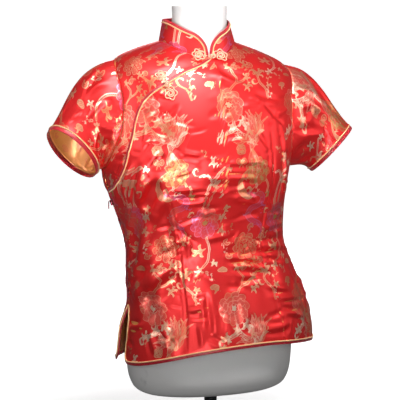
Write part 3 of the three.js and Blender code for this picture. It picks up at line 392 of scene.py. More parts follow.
def panel_reach(panel, row, with_arm):
    """Greatest turn of a panel at a row, with the armhole cut out of it."""
    depth = spline(TORSO["fore" if panel == "front" else "aft"], row)
    reach = np.degrees(np.arccos((slit_inset(row) / depth) ** (spline(TORSO["power"], row) / 2)))
    k = np.clip((row - ARM_PIT) / (ARM_TIP - ARM_PIT), 0, 1)
    return reach - (ARM_CUT[panel] * np.sin(np.pi * k) ** 0.65 if with_arm else 0)


def hem_row(u):
    """The hem's row, which rises in a quarter round at both corners."""
    corner = np.clip((np.abs(u) - 0.93) / 0.07, 0, 1)
    return 0.2 + 0.3 * (1 - np.sqrt(1 - corner * corner))


def opening_key(f):
    """Turn and row of the opening's curve at a fraction of its table."""
    at = f * (len(OPENING["turn"]) - 1)
    return spline(OPENING["turn"], at), spline(OPENING["row"], at)


OPENING_KEYS = np.linspace(0, 1, 241)
key_turns, key_rows = opening_key(OPENING_KEYS)
OPENING_REACH = reach_along(ring_point(TORSO, key_rows, key_turns))


def opening_at(fraction):
    """Turn and row of the opening at a fraction of its length on the cloth."""
    length = np.clip(fraction, 0, 1) * OPENING_REACH[-1]
    return opening_key(np.interp(length, OPENING_REACH, OPENING_KEYS))


def panel_row(u, share, top):
    """A panel's row: share runs from -1 at the hem to 0 at the slit's top and 1 at top."""
    return np.where(share < 0, mix(hem_row(u), SLIT_TOP, share + 1), mix(SLIT_TOP, top, share))


def front_key(u, share):
    """Row and turn of the front, from side to side by u and up by share. Its columns lean
    towards the opening with the square of share."""
    pull = np.maximum(0, share) ** 2
    top_turn, top_row = opening_at(-u)
    row_a = panel_row(u, share, top_row)
    turn_a = mix(u * panel_reach("front", row_a, False), top_turn, pull)
    row_b = panel_row(u, share, float(NECK_ROW))
    turn_b = u * panel_reach("front", row_b, True) + OPENING["turn"][0] * (1 - u) * pull
    return np.where(u < 0, row_a, row_b), np.where(u < 0, turn_a, turn_b)


def back_key(u, share):
    """Row and turn of the back, from side to side by u and up by share."""
    row = panel_row(u, share, float(NECK_ROW))
    return row, 180 - u * panel_reach("back", row, True)


def under_outer(u):
    """Row and turn along the underlap's sewn edge: neck, shoulder, armhole, side."""
    stops = np.array([0, 5 / 24, 9 / 24, 18 / 24, 1])
    row = np.interp(u, stops, [NECK_ROW, NECK_ROW, ARM_TIP, ARM_PIT, 5.1])
    turn = np.where(u < stops[1], mix(-5, -90, u / stops[1]), -panel_reach("front", row, True))
    return row, turn


def under_key(u, v):
    """The underlap lies between its sewn edge, v = 1, and its hidden edge under the front."""
    turn, row = opening_at(u)
    side, near, end = smooth((u - 0.35) / 0.3), smooth(u / 0.12), smooth((u - 0.75) / 0.25)
    in_turn = turn + (OVERLAP / TURN_MM) * mix(1, side, near) * (1 - end) * 0.9
    in_row = row - (OVERLAP / 50) * mix(0, 1 - 0.55 * side, near) - 0.1 * end
    out_row, out_turn = under_outer(u)
    return mix(in_row, out_row, v), mix(in_turn, out_turn, v), in_row, in_turn


line_turns, line_rows = opening_at(np.linspace(0, 1, 61))
OPENING_LINE = cloth_point(line_rows, line_turns, fine=False)


def under_recess(flat, row, turn, covered):
    """How far the underlap lies behind the front: in full near the opening, fading beyond."""
    away = np.min(np.linalg.norm(flat[..., None, :] - OPENING_LINE, axis=-1), axis=-1)
    lift = np.where(covered, 0, smooth((away - BIND_WIDTH - 4) / 26))
    at_neck = mix(0.85, 1, smooth((NECK_ROW - row) / 0.8))
    at_side = mix(0.85, 1, smooth((90 + turn) / 6))
    return OPENING_RECESS * (1 - lift) * at_neck * at_side


def under_point(row, turn, in_row, in_turn):
    """The underlap's cloth, sunk behind the front by its recess."""
    flat = cloth_point(row, turn, fine=False)
    hidden = cloth_point(in_row, in_turn, fine=False)
    covered = np.linalg.norm(flat - hidden, axis=-1) < OVERLAP
    recess = under_recess(flat, row, turn, covered)
    return cloth_point(row, turn) - ring_normal(TORSO, row, turn) * recess[..., None]


def armhole(side):
    """The armhole's edge from the underarm over the front to the shoulder tip and down the
    back, as a function of turn from 0 to 1 that gives points, normals and the way off."""
    count = 120
    row = np.linspace(ARM_PIT, ARM_TIP, count)
    turn = side * panel_reach("front", row, True)
    if side < 0:
        ahead = under_point(row, turn, row, turn + 60)
    else:
        ahead = cloth_point(row, turn)
    back_row = row[::-1]
    back_turn = 180 - side * panel_reach("back", back_row, True)
    p = np.concatenate([ahead, cloth_point(back_row, back_turn)])
    n = np.concatenate([ring_normal(TORSO, row, turn), ring_normal(TORSO, back_row, back_turn)])
    reach = reach_along(p)
    tip, total = reach[count - 1], reach[-1]

    def at(length):
        q = np.stack([np.interp(length, reach, p[:, k]) for k in range(3)], -1)
        m = np.stack([np.interp(length, reach, n[:, k]) for k in range(3)], -1)
        return q, unit(m)

    def hole(turn):
        length = np.where(turn <= 0.5, turn * 2 * tip, mix(tip, total, turn * 2 - 1))
        q, m = at(length)
        along = unit(at(np.minimum(total, length + 3))[0] - at(np.maximum(0, length - 3))[0])
        off = unit(np.cross(along, m))
        inward = np.array([side * 178, 40, 690.0]) - q
        flip = np.sum(off * inward, -1, keepdims=True) < 0
        return q, m, np.where(flip, -off, off)
    return hole


def sleeve_point(side, hole, around, w):
    """A Hermite loft from the armhole's edge to the oval cuff, for turn around and share w."""
    s = SLEEVES[side]
    aim = unit(np.array(s["aim"], float))
    down = unit(np.array([0, 0, -1.0]) + aim * aim[2])
    fore = unit(np.cross(aim, down))
    fore = -fore if fore[1] > 0 else fore
    start, normal, off = hole(around)
    angle = 2 * np.pi * around[..., None]
    end = (np.array(s["cuff"], float) - aim * (CUFF_BIND + PROUD)
           + down * s["tall"] * np.cos(angle) + fore * s["deep"] * np.sin(angle))
    top = 0.5 - 0.5 * np.cos(angle)
    leave = unit(np.concatenate([side * mix(0.75, 0.9, top), -0.02 + 0 * top, mix(-0.3, -0.12, top)], -1))
    gap = np.linalg.norm(start - end, axis=-1, keepdims=True)
    start = start + off * 0.3
    w = w[..., None]
    h1, h2 = 2 * w**3 - 3 * w**2 + 1, w**3 - 2 * w**2 + w
    h3, h4 = -2 * w**3 + 3 * w**2, w**3 - w**2
    return (start * h1 + leave * h2 * gap * mix(s["under"], s["puff"], top)
            + end * h3 + aim * h4 * gap * 0.9), normal


def collar_top(turn):
    """The collar's height, less its rounded front corners and a dip behind."""
    k = np.clip(1 - (np.abs(turn) - COLLAR_END) * 1.32 / COLLAR_CORNER, 0, 1)
    drop = COLLAR_CORNER * (1 - np.sqrt(1 - k * k))
    behind = 3 * smooth((np.abs(turn) - 60) / 100)
    return COLLAR_HEIGHT - BIND_WIDTH - PROUD - drop - behind


def collar_point(turn, rise):
    """The collar's sheet: the neck's ring raised by rise and leaning in, most at the sides."""
    foot = cloth_point(np.full(np.shape(turn), float(NECK_ROW)), turn, fine=False)
    centre = np.stack([np.full(np.shape(turn), TORSO["x"][-1]),
                       np.full(np.shape(turn), TORSO["y"][-1]), foot[..., 2]], -1)
    out = unit(foot - centre)
    s = np.sin(np.radians(turn))
    lean = mix(np.where(np.cos(np.radians(turn)) > 0, 5, 3), np.where(turn > 0, 13, 8), s * s)
    k = rise / COLLAR_HEIGHT
    point = foot - out * (lean * k)[..., None]
    point[..., 2] += rise + 0.35
    return point


# Meshes
def make_mesh(name, points, quads, tris, uv, body, nodes, materials, flags=None, attributes=None):
    """A mesh object from millimetre points, with a UV map in metres and point attributes."""
    faces = [list(f) for f in quads] + [list(f) for f in tris]
    mesh = bpy.data.meshes.new(name + "_look")
    mesh.from_pydata((points / 1000).tolist(), [], faces)
    mesh.update()
    if uv is not None:
        layer = mesh.uv_layers.new(name="UVMap")
        loops = np.empty(len(mesh.loops), np.int32)
        mesh.loops.foreach_get("vertex_index", loops)
        layer.data.foreach_set("uv", (uv[loops] / 1000).astype(np.float32).ravel())
    for key, values in (attributes or {}).items():
        kind = "FLOAT_COLOR" if values.ndim == 2 else "FLOAT"
        made = mesh.attributes.new(key, kind, "POINT")
        field = "color" if values.ndim == 2 else "value"
        made.data.foreach_set(field, values.astype(np.float32).ravel())
    for material in materials:
        mesh.materials.append(material)
    if flags is not None:
        mesh.polygons.foreach_set("material_index", np.asarray(flags, np.int32))
    mesh.polygons.foreach_set("use_smooth", np.ones(len(faces), bool))
    obj = bpy.data.objects.new(name + "_look", mesh)
    bpy.context.scene.collection.objects.link(obj)
    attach(obj, body)
    if nodes:
        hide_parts(*nodes)
    return obj


def grid_normals(p, wrap):
    """Outward normals of a grid by differences along both ways; the sign is set by the caller."""
    if wrap:
        du = np.roll(p, -1, 0) - np.roll(p, 1, 0)
    else:
        du = np.gradient(p, axis=0)
    dv = np.gradient(p, axis=1)
    return unit(np.cross(du, dv))


def quads_of(ids, wrap, flip):
    """Four-cornered faces between the neighbours in a grid of point numbers."""
    a = ids if not wrap else np.concatenate([ids, ids[:1]])
    q = np.stack([a[:-1, :-1], a[1:, :-1], a[1:, 1:], a[:-1, 1:]], -1).reshape(-1, 4)
    return q[:, ::-1] if flip else q


def cloth_sheet(name, p, normals, uv, wrap=False):
    """A closed sheet of cloth: a fine outer face, an inner face on every second grid line,
    CLOTH behind it, and rims that fan between the two. Grid sizes leave whole halves."""
    nu, nv = p.shape[:2]
    outer = np.arange(nu * nv).reshape(nu, nv)
    pick = np.ix_(np.arange(0, nu, 2), np.arange(0, nv, 2))
    inner_p = (p - normals * CLOTH)[pick]
    iu, iv = inner_p.shape[:2]
    inner = nu * nv + np.arange(iu * iv).reshape(iu, iv)
    flip = np.mean(np.sum(grid_normals(p, wrap) * normals, -1)) < 0
    quads = np.concatenate([quads_of(outer, wrap, flip), quads_of(inner, wrap, not flip)])
    count = len(quads_of(outer, wrap, flip))
    tris = []

    def rim(fine, coarse, turned):
        for k in range(len(coarse) - 1):
            a, b, c = fine[2 * k], fine[2 * k + 1], fine[2 * k + 2]
            found = [(coarse[k], coarse[k + 1], b), (coarse[k], b, a), (coarse[k + 1], c, b)]
            tris.extend([t[::-1] for t in found] if turned else found)

    def close(line):
        return np.append(line, line[0]) if wrap else line

    rim(close(outer[:, 0]), close(inner[:, 0]), flip)
    rim(close(outer[:, -1]), close(inner[:, -1]), not flip)
    if not wrap:
        rim(outer[0], inner[0], not flip)
        rim(outer[-1], inner[-1], flip)
    points = np.concatenate([p.reshape(-1, 3), inner_p.reshape(-1, 3)])
    inner_uv = uv[pick]
    all_uv = np.concatenate([uv.reshape(-1, 2), inner_uv.reshape(-1, 2)])
    flags = np.concatenate([np.zeros(count), np.ones(len(quads) - count), np.ones(len(tris))])
    pattern = brocade_fields(all_uv[:, 0], all_uv[:, 1])
    return make_mesh(name, points, quads, tris, all_uv, "garment", [name],
                     [MATERIALS["brocade"], MATERIALS["reverse"]], flags, pattern)


def frames_along(p, normals, closed=False):
    """Unit vectors along a line, on its normals, and across, square to both."""
    if closed:
        along = unit(np.roll(p, -1, 0) - np.roll(p, 1, 0))
    else:
        along = unit(np.gradient(p, axis=0))
    n = unit(normals - along * np.sum(normals * along, -1, keepdims=True))
    return along, n, np.cross(along, n)


def swept(name, rings, uv, closed, node, material):
    """Rings of points joined one to the next. An open row of them is capped at both ends."""
    count, sides = rings.shape[:2]
    ids = np.arange(count * sides).reshape(count, sides)
    loops = np.concatenate([ids, ids[:1]]) if closed else ids
    beside = np.roll(loops, -1, 1)
    quads = np.stack([loops[:-1], loops[1:], beside[1:], beside[:-1]], -1).reshape(-1, 4)
    tris = []
    if not closed:
        for k in range(1, sides - 1):
            tris.append((ids[0, 0], ids[0, k], ids[0, k + 1]))
            tris.append((ids[-1, 0], ids[-1, k + 1], ids[-1, k]))
    points = rings.reshape(-1, 3)
    if signed_volume(points, quads, tris) < 0:
        quads, tris = quads[:, ::-1], [t[::-1] for t in tris]
    return make_mesh(name, points, quads, tris, uv.reshape(-1, 2), "garment", [node] if node else [],
                     [material])


def strip(name, p, normal, out, outline, closed, node, material, widths):
    """A closed profile swept along stations: outline gives (out, up) for each. The part of it
    beyond PROUD is as wide as widths says."""
    m, n = outline[:, 0], outline[:, 1]
    reach_out = np.where(m > PROUD, PROUD + (m - PROUD)[None] * widths[:, None], m[None])
    rings = p[:, None] + out[:, None] * reach_out[..., None] + normal[:, None] * n[None, :, None]
    girth = reach_along(np.concatenate([outline, outline[:1]]))[:-1]
    uv = np.stack(np.broadcast_arrays(reach_along(p)[:, None], girth[None]), -1)
    return swept(name, rings, uv, closed, node, material)


def signed_volume(p, quads, tris):
    """A sixth of the sum of the triangles' triple products."""
    q = np.asarray(quads)
    t = np.concatenate([q[:, [0, 1, 2]], q[:, [0, 2, 3]]] + ([np.asarray(tris)] if len(tris) else []))
    a, b, c = p[t[:, 0]], p[t[:, 1]], p[t[:, 2]]
    return np.sum(a * np.cross(b, c)) / 6


def tube(name, p, normals, radius, node, material, sides=10, closed=False, swell=None):
    """A round cord along points. Its ends close in over one step."""
    _, n, out = frames_along(p, normals, closed)
    angle = np.arange(sides) * 2 * np.pi / sides
    size = np.full(len(p), radius, float) if swell is None else radius * swell
    if not closed:
        size[0] *= 0.45
        size[-1] *= 0.45
    rings = (p[:, None] + (n[:, None] * np.cos(angle)[None, :, None]
             + out[:, None] * np.sin(angle)[None, :, None]) * size[:, None, None])
    uv = np.stack(np.broadcast_arrays(reach_along(p)[:, None], (angle * radius)[None]), -1)
    return swept(name, rings, uv, closed, node, material)


# Brocade: a repeat charted from strokes of changing width
TILE = (166.0, 385.0)
TINTS = {"gold": (0.81, 0.47, 0.27), "pale": (1.0, 0.78, 0.57), "pink": (0.72, 0.16, 0.34),
         "green": (0.50, 0.36, 0.13), "rose": (0.92, 0.36, 0.26)}
STROKES = []


def stroke(layer, tint, x, y, text, turn=0.0, scale=1.0):
    """Adds a stroke through local points 'x y r x y r ...', turned, scaled and moved to x, y."""
    if isinstance(text, str):
        data = np.array([float(v) for v in text.split()]).reshape(-1, 3)
    else:
        data = np.asarray(text, float)
    fine = curve(data, max(2, 5 * (len(data) - 1) + 1))
    c, s = math.cos(math.radians(turn)), math.sin(math.radians(turn))
    px = x + scale * (fine[:, 0] * c - fine[:, 1] * s)
    py = y + scale * (fine[:, 0] * s + fine[:, 1] * c)
    STROKES.append((layer, tint, px, py, np.maximum(0.15, fine[:, 2] * scale)))


def leaf(x, y, turn, size=1.0, tint="gold"):
    """A curled leaf with round lobes on a short stalk."""
    stroke("fill", tint, x, y, "0 0 0.7 6 1 1.5 12 2 3 18 0 2.9 22.5 -4 1.5 20.5 -7 0.8", turn, size)
    stroke("fill", tint, x, y, "9 3 1 10.5 8 2.3 7 11.5 1", turn, size)
    stroke("fill", tint, x, y, "8 0 1 10.5 -5.5 2.1 7 -8.5 0.9", turn, size)
    stroke("fill", tint, x, y, "16 2 1.2 20.5 5.5 1.9 25 3.5 0.7", turn, size)


def sprig(x, y, turn, size=1.0, tint="gold"):
    """A thin bent stalk with small leaves on both sides and a bud."""
    c, s = math.cos(math.radians(turn)), math.sin(math.radians(turn))
    stroke("fill", tint, x, y, "0 0 0.5 8 3 0.6 16 2 0.6 24 6 0.5", turn, size)
    for px, py, a, k in ((7, 3, 55, 0.34), (14, 2, -48, 0.36), (20, 4, 60, 0.3)):
        leaf(x + size * (px * c - py * s), y + size * (px * s + py * c), turn + a, k * size, tint)
    stroke("lineA", tint, x, y, "25 6 1.6 29 8 2.4 32 9 0.8", turn, size)


def curl(x, y, turn, size=1.0, tint="gold", hand=1):
    """A scroll that ends in a hook."""
    stroke("fill", tint, x, y, np.array([[0, 0, 0.6], [9, 5 * hand, 1.2], [17, 2 * hand, 2.3],
           [18, -6 * hand, 2.0], [12, -8 * hand, 1.3], [10, -4 * hand, 0.8]]), turn, size)


def stem(points, tint="gold", x=0, y=0):
    """A stalk drawn as two close lines."""
    stroke("lineA", tint, x, y, np.array([[px, py, 1.7] for px, py in points]))


def petal(layer, tint, x, y, reach, half, radius, turn, size=1.0):
    """A broad petal with a scalloped rim: a short arc about the flower's heart."""
    a = np.radians(np.linspace(-half, half, 4))
    wave = np.array([1, 1.09, 1.05, 1.0]) * reach
    data = np.stack([wave * np.cos(a), wave * np.sin(a), radius * np.array([0.8, 1.05, 0.95, 0.85])], -1)
    stroke(layer, tint, x, y, data, turn, size)


def flower(x, y, size, petals, tint, heart, spin=0.0):
    """A full flower: a toothed heart and three rings of broad petals drawn in outline."""
    for k in range(7):
        stroke("fill", heart, x, y, "0.5 0 1.3 4 0.6 1.5 7.5 0 0.4", spin + k * 51.4, size)
    for ring, (reach, half, radius) in enumerate(((11, 20, 3.2), (18, 15, 3.8), (25.5, 11, 4.0))):
        count = petals - 2 + ring * 2
        for k in range(count):
            layer = "lineA" if (k + ring) % 2 else "lineB"
            a = spin + (k + 0.5 * ring) * 360 / count + 3 * math.sin(5 * k + ring)
            petal(layer, tint, x, y, reach, half, radius, a, size)
            if ring < 2:
                stroke("fill", heart, x, y, np.array([[reach - 1, 0, 0.4], [reach + 3, 0, 0.6]]), a, size)


def fan(x, y, angles, length, radius, tint, bend=0.0, layers=("lineA", "lineB")):
    """Feathers spread from a point, each a long thin outline that narrows to its tip."""
    for k, a in enumerate(angles):
        long = length * (1 + 0.12 * math.sin(2.1 * k + 1))
        wave = bend * (1 if k % 2 else -1)
        stroke(layers[k % 2], tint, x, y, np.array([[2, 0, 0.8], [long * 0.35, wave * 0.6, radius],
               [long * 0.7, -wave, radius * 0.9], [long, wave, 0.5]]), a)


def bird(x, y):
    """A long-tailed bird, wings raised: body, head, two wings, and tail feathers."""
    stroke("lineA", "pale", x, y, "-12 -16 3 -8 -6 6.5 2 2 7.5 10 8 4")
    stroke("fill", "pale", x, y, "10 9 2.4 17 14 3.2 23 15 1.2 29 13 0.5")
    stroke("fill", "gold", x, y, "17 17 0.5 19 24 1.3 15 30 0.5")
    stroke("fill", "gold", x, y, "21 17 0.5 25 23 1.1 24 28 0.4")
    for k in range(5):
        step = 4 * k
        stroke("fill", "gold", x, y, [[step - 9, step - 9, 0.8], [step - 5, step - 12, 0.9]])
    fan(x + 4, y + 6, [64, 74, 84, 94, 104, 114, 124], 44, 1.9, "rose", 2.5)
    fan(x + 2, y + 4, [69, 81, 93, 107, 119], 27, 1.5, "rose", 1.5, ("lineB", "lineA"))
    fan(x - 6, y - 2, [142, 153, 164, 175, 187], 36, 1.9, "rose", 2.5)
    fan(x - 4, y - 1, [148, 160, 171, 183], 22, 1.4, "rose", 1.5, ("lineB", "lineA"))
    fan(x - 12, y - 16, [-52, -63, -74, -85, -97], 58, 1.9, "rose", 4)
    droop = -74
    for k in range(5):
        leaf(x - 12 + 13 * k * math.cos(math.radians(droop)), y - 16 + 13 * k * math.sin(math.radians(droop)),
             droop + (32 if k % 2 else -34), 0.3, "pale")
    stroke("fill", "pale", x, y, "5 12 0.6 9 26 1.3 7 40 0.5")
    stroke("fill", "pale", x, y, "-18 0 0.6 -29 7 1.3 -37 16 0.5")


def knot(x, y):
    """An endless knot: crossed loops, with a looped tassel below."""
    for k in range(4):
        stroke("lineA" if k % 2 else "lineB", "gold", x, y,
               "2 2 1.6 7 5 2.6 10 0 2.2 7 -5 1.6 2 -2 1.2", 45 + 90 * k, 0.8)
    stroke("lineA", "gold", x, y, "-6 -6 1.8 6 6 1.8")
    stroke("lineB", "gold", x, y, "-6 6 1.8 6 -6 1.8")
    for hand in (-1, 1):
        loop = [[0, 0, 0.8], [6 * hand, 4, 2.2], [9 * hand, 0, 1.8], [5 * hand, -4, 1.2], [0, 0, 0.8]]
        stroke("lineA", "gold", x, y - 22, loop)
        stroke("fill", "gold", x, y - 24, [[0, 0, 0.6], [3 * hand, -7, 1.1], [5 * hand, -13, 0.5]])


def crescent(x, y):
    """A long leaf bent into a crescent, with a curled foot."""
    stroke("fill", "gold", x, y, "14 40 0.4 2 34 1.2 -7 22 2.6 -9 8 5 -4 -6 7.2 8 -16 5.5 18 -18 1")
    stroke("fill", "gold", x, y, "4 -2 1 10 2 2.2 14 -4 2.4 12 -10 1.2")
    stroke("fill", "gold", x, y, "-8 20 0.6 -1 19 1.6 3 14 0.5")


def serpent(x, y):
    """A coiling water dragon in outline: body, ridge, legs and whiskers."""
    stroke("lineA", "pink", x, y, "-6 34 2 8 36 4.4 16 26 5 8 14 5.2 -8 8 5.2 "
           "-14 -6 5.2 -2 -18 5 12 -24 4 20 -36 2.4 16 -46 0.8")
    for k in range(11):
        a = k / 10
        px, py = -6 + 22 * math.sin(3 * a + 0.6), 34 - 78 * a
        stroke("fill", "pink", x, y, [[px - 3, py, 0.7], [px + 4, py + 2.5, 0.9]])
    stroke("lineB", "pink", x, y, "-6 33 3.4 -15 38 3.6 -21 34 1.4")
    stroke("fill", "gold", x, y, "-12 43 0.4 -8 49 1 -2 51 0.4")
    for px, py, hand in ((12, 16, 1), (-12, 0, -1), (6, -22, 1)):
        leg = [[px, py, 1.6], [px + 9 * hand, py - 6, 1.4], [px + 14 * hand, py - 2, 0.5]]
        stroke("fill", "pink", x, y, leg)


def cloud_flower(x, y):
    """A full-blown flower with ruffled petals among cloud curls."""
    flower(x, y, 0.84, 6, "gold", "gold", 15)
    for px, py, a in ((-30, -14, 200), (-33, 9, 170), (25, -25, -40), (30, 14, 20),
                      (-5, -33, -100), (8, 31, 80)):
        stroke("lineB", "gold", x + px, y + py, "0 0 1.2 6 4 2.8 12 0 3.1 8 -5 2.1", a, 0.9)
        stroke("fill", "gold", x + px, y + py, "-6 0 0.5 -2 2 0.9 2 0 0.6", a)


def chart_brocade():
    """One repeat: the motifs are joined by stalks, and the empty ground shows between them."""
    bird(-108, 652)
    flower(14, 716, 1.0, 8, "rose", "pale", 10)
    for x, y, a, size, tint in ((26, 690, -35, 1.1, "pale"), (18, 686, -110, 0.9, "pale"),
                                (6, 668, 200, 1.0, "pale"), (40, 668, -15, 0.8, "gold"),
                                (52, 742, 40, 0.9, "gold"), (62, 760, 100, 0.8, "gold"),
                                (-12, 750, 150, 0.8, "gold")):
        leaf(x, y, a, size, tint)
    stem([(18, 690), (24, 672), (36, 662), (52, 656)], "pale")
    stem([(24, 672), (8, 664), (-6, 658)], "pale")
    curl(-6, 658, 205, 0.9, "pale", -1)
    stem([(20, 742), (34, 756), (50, 762), (66, 778)])
    stem([(34, 756), (38, 770), (30, 784)])
    curl(66, 778, 30, 0.8)
    leaf(30, 784, 110, 0.7)
    stroke("fill", "gold", -22, 757, "-6 0 3.2 -1 1.5 4.8 5 1 4.2")
    knot(24, 634)
    crescent(34, 560)
    flower(-106, 592, 0.85, 7, "green", "green", 0)
    for k in range(7):
        stroke("fill", "green", -106, 592, "12 0 1 17 0 3 24 0 0.6", k * 51.4)
    stem([(-112, 604), (-122, 622), (-116, 640)])
    leaf(-116, 640, 80, 0.6, "pale")
    stem([(-84, 574), (-78, 562), (-80, 552)])
    leaf(-80, 556, -80, 0.7, "green")
    curl(-112, 588, 190, 0.8, "green")
    stem([(-52, 524), (-50, 552), (-38, 576), (-22, 592), (-8, 604)], "pale")
    stem([(-38, 576), (-46, 588), (-56, 586)], "pale")
    stem([(-42, 524), (-40, 544), (-34, 558)], "pale")
    leaf(-34, 556, 70, 1.1, "pale")
    leaf(-28, 600, 95, 1.0, "pale")
    leaf(-10, 602, -20, 0.7, "pale")
    curl(-56, 588, 150, 0.9, "pale")
    curl(-28, 546, 20, 0.9, "pale", -1)
    flower(-42, 496, 0.95, 8, "pink", "green", 22)
    for k in range(8):
        stroke("fill", "pink", -42, 496, "16 0 0.6 20 0 1.5 23 0 0.5", 22 + k * 45)
    leaf(-18, 500, 20, 0.9, "pale")
    leaf(-16, 486, -40, 0.9, "pale")
    leaf(-4, 512, 60, 0.8)
    curl(-66, 510, 160, 0.8, "gold", -1)
    stem([(-38, 470), (-30, 448), (-32, 424), (-44, 410)], "pale")
    leaf(-36, 446, 195, 1.2, "gold")
    leaf(-44, 412, 220, 0.8, "pale")
    leaf(-30, 420, -20, 0.7, "pale")
    serpent(62, 512)
    cloud_flower(46, 446)
    stroke("fill", "gold", -4, 404, "-6 0 3.6 0 1 5.2 6 0 4")
    stem([(-62, 342), (-66, 362), (-80, 376), (-84, 396), (-96, 410)])
    fan(58, 640, [58, 70, 82, 94, 106, 118], 58, 1.8, "rose", 4)
    fan(58, 640, [64, 77, 90, 103], 34, 1.5, "rose", 2.5, ("lineB", "lineA"))
    for x, y, a, size, tint in ((-8, 560, 70, 0.9, "gold"), (60, 596, 150, 0.8, "gold"),
                                (-64, 452, 110, 1.0, "gold"), (8, 430, 100, 0.8, "pale"),
                                (-6, 640, 80, 0.8, "gold"), (-60, 760, 60, 0.9, "gold"),
                                (10, 470, 60, 0.7, "gold"), (-104, 540, 80, 0.9, "pale"),
                                (-40, 622, 130, 0.7, "gold"), (-90, 440, 60, 0.9, "gold"),
                                (24, 396, 30, 0.9, "gold"), (-20, 384, 120, 0.8, "pale"),
                                (70, 400, 140, 0.8, "gold"), (-52, 724, 100, 0.7, "pale")):
        sprig(x, y, a, size, tint)
    leaf(-82, 384, 60, 1.1)
    leaf(-66, 366, 10, 0.7)
    leaf(-96, 408, 120, 0.8)
    curl(-80, 376, 190, 0.8)


def brocade_fields(x, y):
    """Signed distances, in mm, to the filled and the outlined strokes of the repeat, and a tint.
    A stroke is a chain of round-ended cones: distance to the chain less its radius there."""
    fields = {layer: np.full(len(x), 6.0) for layer in ("fill", "lineA", "lineB")}
    best = np.full(len(x), 9.0)
    tint = np.tile(np.array([*TINTS["gold"], 1.0]), (len(x), 1))
    for layer, name, px, py, radii in STROKES:
        cx, cy = px.mean(), py.mean()
        size = np.hypot(px - cx, py - cy).max() + radii.max() + 5
        dx = x - cx - TILE[0] * np.round((x - cx) / TILE[0])
        dy = y - cy - TILE[1] * np.round((y - cy) / TILE[1])
        near = np.nonzero((np.abs(dx) < size) & (np.abs(dy) < size))[0]
        if not len(near):
            continue
        qx, qy = dx[near] + cx, dy[near] + cy
        gap = np.full(len(near), 9.0)
        for k in range(len(px) - 1):
            ax, ay, bx, by = px[k], py[k], px[k + 1], py[k + 1]
            length2 = (bx - ax) ** 2 + (by - ay) ** 2 + 1e-9
            t = np.clip(((qx - ax) * (bx - ax) + (qy - ay) * (by - ay)) / length2, 0, 1)
            d = np.hypot(qx - ax - t * (bx - ax), qy - ay - t * (by - ay))
            gap = np.minimum(gap, d - mix(radii[k], radii[k + 1], t))
        fields[layer][near] = np.minimum(fields[layer][near], gap)
        nearer = gap < best[near]
        best[near[nearer]] = gap[nearer]
        tint[near[nearer], :3] = TINTS[name]
    return {**fields, "tint": tint}


# Materials
MATERIALS = {}
HATCH = 0.0027          # metres from one slanted line of the weave to the next


def new_material(name, rough, metal=0.0, spec=0.5, sheen=0.0, aniso=0.0):
    """A Principled material; constants sit on the shader's own sockets."""
    material = bpy.data.materials.new(name)
    material.use_nodes = True
    tree = material.node_tree
    shader = tree.nodes["Principled BSDF"]
    shader.inputs["Roughness"].default_value = rough
    shader.inputs["Metallic"].default_value = metal
    shader.inputs["Specular IOR Level"].default_value = spec
    shader.inputs["Sheen Weight"].default_value = sheen
    shader.inputs["Anisotropic"].default_value = aniso
    MATERIALS[name] = material
    return tree, shader


class Nodes:
    """Short calls for building a node tree."""

    def __init__(self, tree):
        self.tree = tree

    def add(self, kind, inputs=None, **settings):
        node = self.tree.nodes.new(kind)
        for key, value in settings.items():
            setattr(node, key, value)
        for key, value in (inputs or {}).items():
            self.put(node.inputs[key], value)
        return node

    def put(self, socket, value):
        if isinstance(value, bpy.types.NodeSocket):
            self.tree.links.new(value, socket)
        else:
            socket.default_value = value

    def math(self, operation, a, b=0.0, clamp=False):
        node = self.add("ShaderNodeMath", {0: a, 1: b}, operation=operation, use_clamp=clamp)
        return node.outputs[0]

    def value(self, name):
        return self.add("ShaderNodeAttribute", attribute_name=name).outputs["Fac"]

    def color(self, name):
        return self.add("ShaderNodeAttribute", attribute_name=name).outputs["Color"]

    def mix(self, factor, a, b, blend="MIX"):
        node = self.add("ShaderNodeMix", data_type="RGBA", blend_type=blend)
        self.put(node.inputs[0], factor)
        self.put(node.inputs[6], a)
        self.put(node.inputs[7], b)
        return node.outputs[2]

    def between(self, value, low, high, to_low=0.0, to_high=1.0):
        node = self.add("ShaderNodeMapRange", {"Value": value, "From Min": low, "From Max": high,
                                               "To Min": to_low, "To Max": to_high})
        node.interpolation_type = "SMOOTHSTEP"
        return node.outputs[0]

    def uv(self, scale):
        node = self.add("ShaderNodeMapping", {"Vector": self.add("ShaderNodeUVMap").outputs[0]})
        node.inputs["Scale"].default_value = scale
        return node.outputs[0]

    def noise(self, vector, scale, detail=2.0):
        node = self.add("ShaderNodeTexNoise", {"Vector": vector, "Scale": scale, "Detail": detail})
        return node.outputs["Fac"]

    def bump(self, height, strength, distance):
        node = self.add("ShaderNodeBump", {"Height": height, "Strength": strength, "Distance": distance})
        return node.outputs[0]


